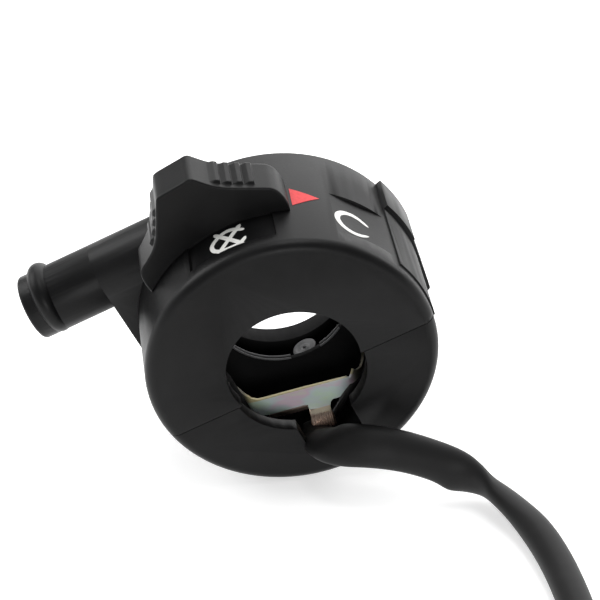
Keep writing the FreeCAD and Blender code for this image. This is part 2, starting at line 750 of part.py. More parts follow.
lugs, lug_holes = [], []
for side, sign in (("left", "-"), ("right", "")):
    centre = lug_place(sign)
    lugs.append(bar("lug_" + side, "lugRadius", "baseFront", "lugThick", *centre))
    spin = "(lugTurn)" if side == "right" else "(180 - lugTurn)"
    lugs.append(block("lug_web_" + side,
                      "(baseInner + 0.6) * cos%s + lugWeb / 2 * sin%s" % (spin, spin), "baseFront",
                      "(baseInner + 0.6) * sin%s - lugWeb / 2 * cos%s" % (spin, spin),
                      "baseThick + lugReach - 0.6", "lugThick", "lugWeb", [("Y", "-" + spin)]))
    lug_holes.append(bar("lug_screw_hole_" + side, "knobScrewRadius + fitGap", "baseFront - 1",
                         "lugThick + 2", *centre))
switch_base = cut("switch_base_cut",
                  fuse("switch_base_solid",
                       sector("base_arc", base_outer, "baseInner", "baseStart", "baseEnd",
                              "baseFront", "baseLong"), *lugs),
                  *(lug_holes + rivet_holes("base_hole", "_")))
node("switch_base", switch_base)
live_strip = cut("live_cut", sector("live_arc", strip_outer, base_outer, "baseStart", "liveEnd",
                                    "liveFront", "stripWide"), *rivet_holes("live_hole", "live"))
node("fixed_contact_live", live_strip)
earth_strip = cut("earth_cut", sector("earth_arc", strip_outer, base_outer, "earthStart",
                                      "baseEnd", "earthFront", "stripWide"),
                  *rivet_holes("earth_hole", "earth"))
node("fixed_contact_earth", earth_strip)
rivets = []
for which, angle, y in RIVETS:
    rivets.append(fuse("rivet_" + which,
                       spoke("rivet_stem_" + which, "rivetRadius", angle, y,
                             "baseInner - headThick / 2", "baseThick + stripThick + headThick"),
                       spoke("rivet_top_" + which, "rivetHead", angle, y,
                             strip_outer + " + fitGap", "headThick")))
node("contact_rivets", fuse("rivet_group", *rivets))
screws = []
for side, sign in (("left", "-"), ("right", "")):
    centre = lug_place(sign)
    screws.append(fuse("base_screw_" + side,
                       bar("base_screw_head_" + side, "knobHeadRadius",
                           "baseFront + lugThick + fitGap", "knobHeadThick - 0.1", *centre),
                       bar("base_screw_shank_" + side, "knobScrewRadius - fitGap",
                           "frontWall + 0.8", "baseFront + lugThick - frontWall", *centre)))
node("base_screws", fuse("base_screw_group", *screws))


# screws and inserts that hold the two shells together

case_screws, inserts = [], []
for side, sign in (("left", "-"), ("right", "")):
    x, y = sign + "caseScrewOut", "caseScrewDepth"
    head_z = "-caseSeatDrop - caseHeadThick - fitGap"
    head = rod("case_head_" + side, "caseHeadRadius", x, y, head_z, "caseHeadThick")
    dome = rounded("case_dome_" + side, head, "0.8",
                   lambda edge: edge.Closed
                   and edge.BoundBox.ZMax < 0.01 - number_of("caseSeatDrop + caseHeadThick"))
    shank = rod("case_shank_" + side, "caseScrewRadius", x, y, "-caseSeatDrop - 0.5",
                "caseScrewLong + 0.5")
    crosses = [block("case_slot_%s_%d" % (side, turn), x + " - caseHeadRadius * 0.6",
                     "caseScrewDepth - slotWide / 2", head_z + " - 0.1", "caseHeadRadius * 1.2",
                     "slotWide", "slotDeep + 0.1") for turn in (0, 1)]
    bind(crosses[1], Length="slotWide", Width="caseHeadRadius * 1.2")
    place(crosses[1], x + " - slotWide / 2", "caseScrewDepth - caseHeadRadius * 0.6",
          head_z + " - 0.1")
    case_screws.append(cut("case_screw_" + side, fuse("case_screw_solid_" + side, dome, shank),
                           *crosses))
    inserts.append(cut("insert_" + side,
                       rod("insert_solid_" + side, "insertRadius - fitGap", x, y,
                           "splitGap - splitDrop", "insertLong"),
                       rod("insert_bore_" + side, "caseScrewRadius + fitGap", x, y,
                           "-splitDrop - 1", "insertLong + 3")))
node("case_screws", fuse("case_screw_group", *case_screws))
node("thread_inserts", fuse("insert_group", *inserts))


# bracket whose tongue holds the wire sleeve down

bracket = body_of("bracket_body")
face = sketch_of(bracket, "bracket_face", "XZ_Plane", "-bracketFront")
foot = "-(bracketTop + bracketTall)"
outline(face, [("-bracketLeft", "-bracketTop"), ("bracketRight", "-bracketTop"),
               ("bracketRight", "-bracketTop - legTall"), ("bracketRight - 2.2", foot),
               ("tabLeft + tabWide + 0.3", foot),
               ("tabLeft + tabWide", foot + " - tabDrop"), ("tabLeft", foot + " - tabDrop + 0.4"),
               ("tabLeft", foot), ("-bracketLeft", foot)])
pad_of(bracket, face, "bracket_plate", "bracketThick", True)
leg_back = "ribFront - 0.05"
for side, x, tall in (("left", "-bracketLeft", "bracketTall"),
                      ("right", "bracketRight - bracketThick", "legTall")):
    leg = sketch_of(bracket, "bracket_leg_" + side, "YZ_Plane", x)
    outline(leg, [("bracketFront", "-bracketTop"), (leg_back, "-bracketTop - 0.3"),
                  (leg_back, "-bracketTop - %s" % tall), ("bracketFront", "-bracketTop - %s" % tall)])
    pad_of(bracket, leg, "bracket_leg_pad_" + side, "bracketThick")
tongue = sketch_of(bracket, "bracket_tongue", "YZ_Plane", "tabLeft")
tongue_top = "(bracketTop + bracketTall + tabDrop - 0.8)"
back_y = "bracketFront + bracketThick"
outline(tongue, [("bracketFront", "1 - %s" % tongue_top), ("bracketFront - 0.5", "-%s" % tongue_top),
                 ("tongueTip + 0.6", "0.9 - %s" % tongue_top), ("tongueTip", "0.4 - %s" % tongue_top),
                 ("tongueTip + 0.2", "-0.4 - %s" % tongue_top),
                 ("tongueTip + 0.8", "-0.1 - %s" % tongue_top),
                 ("bracketFront - 0.3", "-1 - %s" % tongue_top),
                 (back_y, "-0.3 - %s" % tongue_top), (back_y, "1 - %s" % tongue_top)])
pad_of(bracket, tongue, "bracket_tongue_pad", "tabWide")
node("cable_bracket", bracket, "-bracketTurn")


# wires

def route(name, points, radius):
    """A tube along straight runs joined by arcs, each as wide as its runs allow."""
    spots = [V(*point) for point in points]
    pieces = []
    start = spots[0]
    radii = []
    for before, corner, after in zip(spots, spots[1:], spots[2:]):
        into = corner - before
        out = after - corner
        turn = into.getAngle(out)
        tangent = 0.45 * min(into.Length, out.Length)
        radii.append(tangent / math.tan(turn / 2))
        into.normalize()
        out.normalize()
        first, last = corner - into * tangent, corner + out * tangent
        weight = math.cos(turn / 2)
        middle = (first + corner * (2 * weight) + last) * (1 / (2 + 2 * weight))
        pieces.append(Part.LineSegment(start, first))
        pieces.append(Part.Arc(first, middle, last))
        start = last
    pieces.append(Part.LineSegment(start, spots[-1]))
    tube = swept(pieces, radius)
    length = sum(piece.length() for piece in pieces)
    expected = math.pi * radius * radius * length
    print("%s: length %.1f, radii %s, volume ratio %.4f"
          % (name, length, " ".join("%.1f" % item for item in radii), tube.Volume / expected))
    return tube, length


lean = FreeCAD.Rotation(upright, -size("leanAngle"))


def in_housing(x, y, z):
    return lean.multVec(V(x, y, z))


def around(reach, angle, y):
    """A point in the housing by its distance and angle about the bar."""
    turned = math.radians(angle)
    return in_housing(reach * math.cos(turned), y, reach * math.sin(turned))


lead_reach = number_of("bodyRadius - wallThick - 2.5")
sleeve_in = V(0.3, 1.7, 1.5 - lead_reach)
lead_near, lead_far = 1 - lead_reach, -0.4 - lead_reach
lead_low = size("ribFront") - 2.1
strip_lead = number_of(strip_outer + " + fitGap + leadRadius")
live_y, earth_y = number_of(live_mid), number_of(earth_mid)
live_route = [around(strip_lead, size("baseStart") + 1.5, live_y),
              around(strip_lead + 0.6, 34, live_y + 0.9), around(lead_reach - 0.6, 18, 15.2),
              around(lead_reach, -8, lead_low), around(lead_reach, -35, lead_low),
              around(lead_reach, -62, lead_low - 0.2), around(lead_reach + 0.4, -80, 13.2),
              in_housing(1.4, 8.4, lead_far), in_housing(1.2, sleeve_in.y + 0.6, lead_near)]
earth_route = [around(strip_lead, size("baseEnd") - 1.5, earth_y),
               around(strip_lead + 0.6, 156, earth_y - 0.1), around(lead_reach - 0.6, 172, lead_low),
               around(lead_reach, 198, lead_low), around(lead_reach, 225, lead_low),
               around(lead_reach, 248, lead_low - 0.3), around(lead_reach + 0.4, 262, 12.2),
               in_housing(-1.0, 7.4, lead_far - 0.2),
               in_housing(-0.6, sleeve_in.y + 0.6, lead_near)]
for name, points in (("live_lead", live_route), ("earth_lead", earth_route)):
    loose(name, route(name, points, size("leadRadius"))[0])

floor_z = -size("bodyRadius")
rest_z = floor_z + size("sleeveRadius")
coil_z = rest_z + size("coilLift")
coil_x, coil_y = 4.8, -86.0
coil_outer = 34.3
SLEEVE_ROUTE = [tuple(in_housing(sleeve_in.x, sleeve_in.y, sleeve_in.z)), (8.0, -2.8, -15.0),
                (11.4, -5.8, -13.6), (20.0, -6.3, -16.1), (28.0, -7.4, -19.9),
                (34.4, -12.4, rest_z), (38.4, -23.0, rest_z), (39.9, -38.0, rest_z),
                (coil_x + coil_outer, -60.0, (rest_z + coil_z) / 2),
                (coil_x + coil_outer, coil_y, coil_z)]
sleeve, sleeve_length = route("wire_sleeve", SLEEVE_ROUTE, size("sleeveRadius"))
loose("wire_sleeve", sleeve)


def coil_shape():
    """Two flat turns that wind inwards, as half turns of biarcs."""
    points, tangents = [], []
    pitch = size("coilPitch")
    steps = 16
    for step in range(steps + 1):
        angle = -step * 4 * math.pi / steps
        reach = coil_outer - pitch * 2 * step / steps
        inward = -pitch / (2 * math.pi)
        out = V(math.cos(angle), math.sin(angle), 0)
        along = V(math.sin(angle), -math.cos(angle), 0)
        points.append(V(coil_x, coil_y, coil_z) + out * reach)
        heading = along * reach + out * inward
        heading.normalize()
        tangents.append(heading)
    tangents[0] = V(0, -1, 0)
    tangents[-1] = V(0, -1, 0)
    arcs = biarcs(points, tangents)
    print("sleeve_coil: length %.1f" % sum(arc.length() for arc in arcs))
    return swept(arcs, size("sleeveRadius"))


loose("sleeve_coil", coil_shape())
tie_at = V(coil_x - coil_outer + size("coilPitch"), coil_y, coil_z)
tie_wide = size("coilPitch") + 2 * size("sleeveRadius") + 0.5
tie_tall = 2 * size("sleeveRadius") + 0.04
thick = size("tieThick")
tie_outer = Part.makeBox(tie_wide + 2 * thick, size("tieWide"), tie_tall + 2 * thick,
                         V(-tie_wide / 2 - thick, -size("tieWide") / 2, -tie_tall / 2 - thick))
tie_inner = Part.makeBox(tie_wide, size("tieWide") + 2, tie_tall,
                         V(-tie_wide / 2, -size("tieWide") / 2 - 1, -tie_tall / 2))
tie = tie_outer.cut(tie_inner)
tie.translate(tie_at)
loose("coil_tie", tie)

boot_z = coil_z + size("sleeveRadius") + size("bootRadius") + 0.02
tail_low = floor_z + size("tailRadius") + 0.05
coil_centre = V(coil_x, coil_y, 0)
coil_end = coil_outer - 2 * size("coilPitch")
# inside the coil along the floor, then up, so that the boots lie on its turns
TAILS = {
    "live": [(coil_end + 1.3, -0.35, coil_z), (21.8, -9.5, -22.6), (11.0, -20.2, tail_low),
             (-7.4, -1.8, tail_low), (-15.2, 6.0, boot_z), (-18.75, 9.55, boot_z)],
    "earth": [(coil_end - 1.3, -0.35, coil_z), (19.4, -6.5, -22.6), (13.0, -12.6, tail_low),
              (-2.6, 3.0, tail_low), (-10.4, 10.8, boot_z), (-13.95, 14.35, boot_z)],
}
for name, points in TAILS.items():
    spots = [coil_centre + V(*point) for point in points]
    loose(name + "_tail", route(name + "_tail", spots, size("tailRadius"))[0])
    end = spots[-1]
    heading = V(end.x - spots[-2].x, end.y - spots[-2].y, 0).normalize()
    end += heading * 0.2
    boot = Part.makeCylinder(size("bootRadius"), size("bootLong"), end, heading)
    loose(name + "_boot", boot.makeFillet(0.6, [edge for edge in boot.Edges if edge.Closed]))
    pin_start = end + heading * size("bootLong")
    stem = Part.makeCylinder(size("bulletRadius"), size("bulletLong"), pin_start, heading)
    tip = [edge for edge in stem.Edges
           if edge.Closed and (edge.CenterOfMass - pin_start).Length > size("bulletLong") / 2]
    loose(name + "_bullet", stem.makeFillet(0.9, tip))
    print("%s_bullet from %s along %s" % (name, pin_start, heading))

doc.recompute()
for item in doc.Objects:
    if "Invalid" in item.State or "Error" in item.State:
        raise RuntimeError("%s is %s" % (item.Name, item.State))
os.makedirs("parts", exist_ok=True)
for piece in NODES:
    shape = piece.Shape
    if shape.isNull() or not shape.isValid() or not shape.Solids:
        raise RuntimeError("%s has no valid solid" % piece.Label)
    shape.exportStep("parts/%s.step" % piece.Label)
    box = shape.BoundBox
    print("%-20s solids %d volume %8.1f x %.1f %.1f y %.1f %.1f z %.1f %.1f"
          % (piece.Label, len(shape.Solids), shape.Volume, box.XMin, box.XMax,
             box.YMin, box.YMax, box.ZMin, box.ZMax))
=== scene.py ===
import json
import math

import bmesh
import bpy
import numpy as np
from mathutils import Matrix, Vector


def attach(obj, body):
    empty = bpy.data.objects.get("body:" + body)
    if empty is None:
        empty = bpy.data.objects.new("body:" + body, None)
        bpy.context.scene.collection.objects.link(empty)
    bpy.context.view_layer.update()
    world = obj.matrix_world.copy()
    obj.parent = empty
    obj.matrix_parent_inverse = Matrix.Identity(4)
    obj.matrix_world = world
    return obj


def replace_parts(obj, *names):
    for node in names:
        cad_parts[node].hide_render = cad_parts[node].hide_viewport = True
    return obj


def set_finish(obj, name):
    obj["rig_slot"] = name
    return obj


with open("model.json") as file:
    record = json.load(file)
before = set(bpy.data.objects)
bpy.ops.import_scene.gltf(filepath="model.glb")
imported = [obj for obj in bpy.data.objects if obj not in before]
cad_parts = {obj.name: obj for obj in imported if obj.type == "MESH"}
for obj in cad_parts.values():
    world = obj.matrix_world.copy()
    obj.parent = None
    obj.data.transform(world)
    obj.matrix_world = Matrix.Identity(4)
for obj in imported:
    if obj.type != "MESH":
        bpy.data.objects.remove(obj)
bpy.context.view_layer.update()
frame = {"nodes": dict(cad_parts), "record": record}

record = frame["record"]
mm = 0.001  # metres in a millimetre
drumRadius = 24.4  # millimetres
floorHeight = -drumRadius * mm
slotOf = {part["node"]: part["material_slot"] for part in record["subparts"]}
bodyOf = {node: body for body, nodes in record["behaviour"]["bodies"].items() for node in nodes}


# camera

cameraPlan = {
    "lens": 120.0,
    "sensor": 36.0,
    "distance": 0.328,  # from the near bar hole
    "azimuth": -7.4,
    "elevation": 37.6,
    "aimRight": 0.003,
    "aimUp": 0.034,
    "clip": (0.01, 20.0),
}


def placeCamera(plan):
    azimuth, elevation = math.radians(plan["azimuth"]), math.radians(plan["elevation"])
    back = Vector((math.sin(azimuth) * math.cos(elevation),
                   -math.cos(azimuth) * math.cos(elevation), math.sin(elevation)))
    right = Vector((math.cos(azimuth), math.sin(azimuth), 0))
    up = back.cross(right)
    view = (plan["aimRight"] * right + plan["aimUp"] * up - back).normalized()
    across = view.cross(up).normalized()
    turned = Matrix((across, across.cross(view), -view)).transposed()
    camera = bpy.data.objects.new("photoCamera", bpy.data.cameras.new("photoCamera"))
    camera.data.lens, camera.data.sensor_width = plan["lens"], plan["sensor"]
    camera.data.clip_start, camera.data.clip_end = plan["clip"]
    camera.matrix_world = Matrix.Translation(back * plan["distance"]) @ turned.to_4x4()
    bpy.context.scene.collection.objects.link(camera)
    bpy.context.scene.camera = camera


placeCamera(cameraPlan)
print("camera placed")


# mesh helpers: cords are in metres, every other piece is in millimetres until addMesh

def addMesh(name, points, faces, body="housing", smooth=True, scale=mm):
    mesh = bpy.data.meshes.new(name)
    mesh.from_pydata(np.asarray(points, float) * scale, [], [list(face) for face in faces])
    mesh.update()
    piece = bpy.data.objects.new(name, mesh)
    bpy.context.scene.collection.objects.link(piece)
    if smooth:
        mesh.shade_smooth()
    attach(piece, body)
    return piece


# quads between neighbouring rows and columns of a grid of points
def gridFaces(rows, columns, wrapColumns=False):
    row = np.arange(rows - 1)[:, None]
    column = np.arange(columns if wrapColumns else columns - 1)[None, :]
    nextColumn = (column + 1) % columns
    quads = np.stack([row * columns + column, row * columns + nextColumn,
                      (row + 1) * columns + nextColumn, (row + 1) * columns + column], axis=-1)
    return quads.reshape(-1, 4).tolist()


# quads that join the rims of two equal grids, one above the other
def rimFaces(rows, columns):
    top = list(range(columns))
    right = [row * columns + columns - 1 for row in range(1, rows)]
    bottom = [(rows - 1) * columns + column for column in reversed(range(columns - 1))]
    left = [row * columns for row in reversed(range(1, rows - 1))]
    ring = top + right + bottom + left
    shift = rows * columns
    return [[first, last, last + shift, first + shift]
            for first, last in zip(ring, ring[1:] + ring[:1])]


# how far along a line of straight steps each of its points is
def travelled(line):
    steps = np.linalg.norm(np.diff(line, axis=0), axis=1)
    return np.concatenate([[0], np.cumsum(steps)])


# points the same distance apart on a line of straight steps
def evenly(line, count):
    line = np.asarray(line, float)
    along = travelled(line)
    wanted = np.linspace(0, along[-1], count)
    return np.stack([np.interp(wanted, along, line[:, axis]) for axis in range(line.shape[1])], 1)


# Catmull-Rom: each stretch is the cubic whose slope at a point is half the step
# from the point before to the point after
def flowing(points, perStretch=12):
    points = np.asarray(points, float)
    padded = np.vstack([2 * points[0] - points[1], points, 2 * points[-1] - points[-2]])
    share = np.linspace(0, len(points) - 1, (len(points) - 1) * perStretch + 1)
    index = np.minimum(share.astype(int), len(points) - 2)
    part = (share - index)[:, None]
    before, first, last, after = (padded[index + shift] for shift in range(4))
    return first + 0.5 * part * (last - before + part * (
        2 * before - 5 * first + 4 * last - after + part * (3 * (first - last) + after - before)))


# turns a closed mesh's faces outwards, its doubles merged first
def outward(piece, merge=1e-8):
    shell = bmesh.new()
    shell.from_mesh(piece.data)
    bmesh.ops.remove_doubles(shell, verts=shell.verts, dist=merge)
    bmesh.ops.recalc_face_normals(shell, faces=shell.faces)
    shell.to_mesh(piece.data)
    shell.free()
    piece.data.update()


# the line that Blender's own NURBS curve draws through a route's control points
def splineLine(name, route, steps=24):
    curve = bpy.data.curves.new(name, "CURVE")
    curve.dimensions = "3D"
    spline = curve.splines.new("NURBS")
    spline.points.add(len(route) - 1)
    for point, place in zip(spline.points, route):
        point.co = (*place, 1)
    spline.order_u = 3
    spline.use_endpoint_u = True
    spline.resolution_u = steps
    holder = bpy.data.objects.new(name, curve)
    mesh = bpy.data.meshes.new_from_object(holder)
    line = np.empty(len(mesh.vertices) * 3)
    mesh.vertices.foreach_get("co", line)
    bpy.data.meshes.remove(mesh)
    bpy.data.curves.remove(curve)
    return line.reshape(-1, 3)


# an oval carried along a line: each ring's point is the centre + side * wide * cos(t)
# + rise * tall * sin(t), the oval turned by spin about the line, and each point drawn
# out or in by swell, a function of the place along the line and of t
def tube(name, line, wide, tall, spin=0.0, sides=40, swell=None):
    tangent = np.gradient(line, axis=0)
    tangent /= np.linalg.norm(tangent, axis=1, keepdims=True)
    side = np.cross(tangent, [0.0, 0.0, 1.0])
    side /= np.linalg.norm(side, axis=1, keepdims=True)
    rise = np.cross(side, tangent)
    count = len(line)
    wide, tall, spin = (np.broadcast_to(value, count)[:, None] for value in (wide, tall, spin))
    around = np.linspace(0, 2 * math.pi, sides, endpoint=False)[None, :]
    grown = swell(travelled(line)[:, None], around) if swell else 1.0
    flat, high = wide * np.cos(around) * grown, tall * np.sin(around) * grown
    across = flat * np.cos(spin) - high * np.sin(spin)
    upward = flat * np.sin(spin) + high * np.cos(spin)
    rings = (line[:, None, :] + side[:, None, :] * across[:, :, None]
             + rise[:, None, :] * upward[:, :, None])
    points = np.vstack([rings.reshape(-1, 3), line[:1], line[-1:]])
    faces = gridFaces(count, sides, wrapColumns=True)
    last = (count - 1) * sides
    faces += [[(step + 1) % sides, step, count * sides] for step in range(sides)]
    faces += [[last + step, last + (step + 1) % sides, count * sides + 1] for step in range(sides)]
    piece = addMesh(name, points, faces, scale=1.0)
    outward(piece)
    return piece


# the wire sleeve: from inside the notch to the floor, out of the picture, and two
# turns of a coil

sleevePlan = {
    "route": [(0.0057, 0.0086, -0.0197), (0.0054, 0.0046, -0.0194), (0.0053, 0.0006, -0.0168),
              (0.0067, -0.0038, -0.0139), (0.0130, -0.0060, -0.0131),
              (0.0200, -0.0063, -0.0153), (0.0280, -0.0074, -0.0191),
              (0.0344, -0.0124, -0.0216), (0.0384, -0.0230, -0.0216),
              (0.0399, -0.0380, -0.0216), (0.0391, -0.0600, -0.02125)],
    "coilCentre": (0.0048, -0.0860, -0.0209),
    "coilOuter": 0.0343,
    "coilPitch": 0.0061,
    "turns": 2,
    "perTurn": 16,
    "diameter": 0.0056,
    "step": 0.00035,  # distance between the tube's rings
    # metres along, the oval's half width and half height, its turn in degrees
    "sections": [(0.000, 0.0031, 0.0013, 182), (0.005, 0.0035, 0.0020, 178),
                 (0.009, 0.0037, 0.0023, 168), (0.015, 0.0037, 0.0020, 142),
                 (0.022, 0.0035, 0.0020, 130), (0.028, 0.0034, 0.0021, 126),
                 (0.034, 0.0034, 0.0021, 112), (0.038, 0.0034, 0.0020, 82),
                 (0.042, 0.0034, 0.0019, 48), (0.047, 0.0033, 0.0021, 38),
                 (0.054, 0.0030, 0.0026, 34), (0.065, 0.0029, 0.0027, 30),
                 (0.090, 0.0028, 0.0028, 20), (0.120, 0.0028, 0.0028, 0)],
    # dents and bulges: metres along, degrees round, depth, their length, their width
    "creases": [(0.0125, 250, -0.05, 0.0035, 60), (0.0200, 85, 0.04, 0.0050, 70),
                (0.0355, 200, 0.16, 0.0026, 40), (0.0395, 120, -0.12, 0.0022, 50),
                (0.0395, 300, -0.10, 0.0024, 45), (0.0445, 20, 0.05, 0.0030, 50),
                (0.0300, 60, -0.05, 0.0030, 45)],
}


# the coil goes round clockwise: its reach is the outer one less a pitch for each turn
def sleeveRoute(plan):
    centre, turns, perTurn = plan["coilCentre"], plan["turns"], plan["perTurn"]
    angle = -2 * math.pi * np.arange(turns * perTurn + 1) / perTurn
    reach = plan["coilOuter"] + plan["coilPitch"] * angle / (2 * math.pi)
    coil = np.stack([centre[0] + reach * np.cos(angle), centre[1] + reach * np.sin(angle),
                     np.full_like(angle, centre[2])], 1)
    return np.vstack([plan["route"], coil])


# each crease is a bell: depth * exp(-(distance along / length)^2 - (angle off / width)^2)
def creased(plan):
    def swell(along, around):
        grown = np.ones(np.broadcast(along, around).shape)
        for place, turn, depth, length, width in plan["creases"]:
            off = (np.degrees(around) - turn + 180) % 360 - 180
            grown += depth * np.exp(-((along - place) / length) ** 2 - (off / width) ** 2)
        return grown

    return swell


def makeSleeve(plan):
    line = splineLine("sleeveLine", sleeveRoute(plan))
    length = travelled(line)[-1]
    line = evenly(line, int(length / plan["step"]))
    stops = flowing(plan["sections"])
    wide, tall, spin = (np.interp(travelled(line), stops[:, 0], stops[:, column])
                        for column in (1, 2, 3))
    piece = tube("wireSleeve", line, wide, tall, np.radians(spin), swell=creased(plan))
    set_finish(piece, "sleeve_pvc")
    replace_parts(piece, "wire_sleeve", "sleeve_coil")
    return piece


cords = [makeSleeve(sleevePlan)]
print("sleeve made")


# the two wires: inside the housing from the contact strips to the sleeve, and past the
# sleeve's end, with their boots and bullets

wirePlan = {
    "tailRadius": 0.0010,
    "leadRadius": 0.00075,
    "step": 0.0004,  # distance between the tube's rings
    "sides": 20,
    "liveTail": [(0.0282, -0.08635, -0.0209), (0.0266, -0.0955, -0.0226),
                 (0.0158, -0.1062, -0.02335), (-0.0026, -0.0878, -0.02335),
                 (-0.0104, -0.0800, -0.01578), (-0.01395, -0.07645, -0.01578)],
    "earthTail": [(0.0256, -0.08635, -0.0209), (0.0242, -0.0925, -0.0226),
                  (0.0178, -0.0986, -0.02335), (0.0022, -0.0830, -0.02335),
                  (-0.0056, -0.0752, -0.01578), (-0.00915, -0.07165, -0.01578)],
    "liveLead": [(0.00544, 0.0118, 0.01537), (0.0087, 0.0127, 0.01449),
                 (0.01382, 0.0152, 0.01289), (0.01865, 0.0159, 0.0057),
                 (0.0192, 0.0159, -0.00339), (0.01557, 0.0157, -0.01174),
                 (0.01141, 0.0134, -0.0163), (0.0087, 0.0106, -0.0186),
                 (0.0062, 0.0072, -0.0197)],
    "earthLead": [(-0.01603, 0.0162, 0.00297), (-0.0169, 0.0161, -0.0003),
                  (-0.0184, 0.0159, -0.0059), (-0.0151, 0.0158, -0.0144),
                  (-0.0071, 0.0160, -0.0203), (0.0012, 0.0168, -0.0207),
                  (0.0062, 0.0167, -0.0202), (0.0078, 0.0146, -0.0197),
                  (0.0070, 0.0112, -0.0197), (0.0057, 0.0078, -0.0197)],
}


def makeWire(name, radius, node, slot):
    line = splineLine(name + "Line", wirePlan[name])
    length = travelled(line)[-1]
    line = evenly(line, int(length / wirePlan["step"]))
    piece = tube(name, line, radius, radius, sides=wirePlan["sides"])
    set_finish(piece, slot)
    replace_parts(piece, node)
    cords.append(piece)


for wire, slot in (("live", "lead_black"), ("earth", "lead_green")):
    makeWire(wire + "Tail", wirePlan["tailRadius"], wire + "_tail", slot)
    makeWire(wire + "Lead", wirePlan["leadRadius"], wire + "_lead", slot)
print("wires made")


# materials

# a socket of a material's nodes, so that shader maths is written as plain expressions
class Term:
    def __init__(self, finish, socket):
        self.finish, self.socket = finish, socket

    def maths(self, operation, *values):
        return self.finish.node("ShaderNodeMath", {"operation": operation}, values)

    def __add__(self, other):
        return self.maths("ADD", self, other)

    def __sub__(self, other):
        return self.maths("SUBTRACT", self, other)

    def __rsub__(self, other):
        return self.maths("SUBTRACT", other, self)

    def __mul__(self, other):
        return self.maths("MULTIPLY", self, other)

    __radd__, __rmul__ = __add__, __mul__

    def larger(self, other):
        return self.maths("MAXIMUM", self, other)

    def between(self, low, high):  # 0 at low, 1 at high, smooth in the middle
        return self.finish.node("ShaderNodeMapRange", {"interpolation_type": "SMOOTHSTEP"},
                                (self, low, high, 0.0, 1.0))


class Finish:
    def __init__(self, name, **values):
        self.material = bpy.data.materials.new(name)
        self.material.use_nodes = True
        self.tree = self.material.node_tree
        self.shader = self.tree.nodes["Principled BSDF"]
        self.place = self.node("ShaderNodeTexCoord", {}, (), "Object")
        self.set(**values)

    # any node: its settings first, then the values or links of its sockets
    def node(self, kind, settings, values, output=0):
        made = self.tree.nodes.new(kind)
        for setting, value in settings.items():
            if setting == "stops":
                while len(made.color_ramp.elements) < len(value):
                    made.color_ramp.elements.new(0.5)
                for element, (position, colour) in zip(made.color_ramp.elements, value):
                    element.position, element.color = position, colour
            else:
                setattr(made, setting, value)
        for key, value in values.items() if isinstance(values, dict) else enumerate(values):
            self.feed(made.inputs[key], value)
        return Term(self, made.outputs[output])

    def feed(self, socket, value):
        if isinstance(value, Term):
            self.tree.links.new(value.socket, socket)
        else:
            socket.default_value = value

    def set(self, **values):
        for name, value in values.items():
            self.feed(self.shader.inputs[name.replace("_", " ")], value)

    def noise(self, scale, detail=2.0, roughness=0.5, stretch=None):
        place = self.place
        if stretch:
            place = self.node("ShaderNodeMapping", {}, {"Vector": place, "Scale": stretch})
        return self.node("ShaderNodeTexNoise", {},
                         {"Vector": place, "Scale": scale, "Detail": detail,
                          "Roughness": roughness}, "Fac")

    # the node's first socket is its factor, 6 and 7 are its two colours
    def mixed(self, factor, first, second):
        return self.node("ShaderNodeMix", {"data_type": "RGBA"},
                         {0: factor, 6: first, 7: second}, 2)

    def bump(self, height, distance, strength=1.0):
        return self.node("ShaderNodeBump", {},
                         {"Height": height, "Distance": distance, "Strength": strength})

    # how far the surface lies along a direction, in metres
    def along(self, direction):
        return self.node("ShaderNodeVectorMath", {"operation": "DOT_PRODUCT"},
                         {0: self.place, 1: direction}, "Value")


def shade(colour, factor, lift=0.0):
    return [value * factor + lift for value in colour[:3]] + [1]


plasticPlan = {
    "base": (0.0036, 0.0036, 0.0038, 1),
    "worn": 1.5,
    "roughness": 0.42,
    "specular": 0.14,
    "cloud": (180.0, 3.0),  # noise: scale, detail, roughness
    "cloudEdges": (0.4, 0.75),
    "cloudRough": 0.12,
    "grain": (2600.0, 2.0, 0.6),
    "grainRough": 0.08,
    "grainDepth": 0.000012,
    "grainStrength": 0.5,
    "insideReach": (0.0222, 0.0228),  # the coarse inside ends here, from the bar's axis
    "insideDepth": (0.0030, 0.0045),  # and starts here, behind the front wall
    "insideRough": 0.42,
}


# black moulded plastic: a fine even grain, cloudy patches that are a little lighter and
# rougher, and a coarse inside
def mouldedBlack(name, plan, tone=1.0):
    finish = Finish(name, Specular_IOR_Level=plan["specular"])
    cloud, grain = finish.noise(*plan["cloud"]), finish.noise(*plan["grain"])
    fromAxis = finish.node("ShaderNodeVectorMath", {"operation": "MULTIPLY"},
                           {0: finish.place, 1: (1, 0, 1)})
    reach = finish.node("ShaderNodeVectorMath", {"operation": "LENGTH"}, {0: fromAxis}, "Value")
    inside = ((1 - reach.between(*plan["insideReach"]))
              * finish.along((0, 1, 0)).between(*plan["insideDepth"]))
    finish.set(Base_Color=finish.mixed(cloud.between(*plan["cloudEdges"]),
                                       shade(plan["base"], tone),
                                       shade(plan["base"], tone * plan["worn"])),
               Roughness=(plan["roughness"] + (cloud - 0.5) * plan["cloudRough"]
                          + (grain - 0.5) * plan["grainRough"] + inside * plan["insideRough"]),
               Normal=finish.bump(grain, plan["grainDepth"], plan["grainStrength"]))
    return finish.material


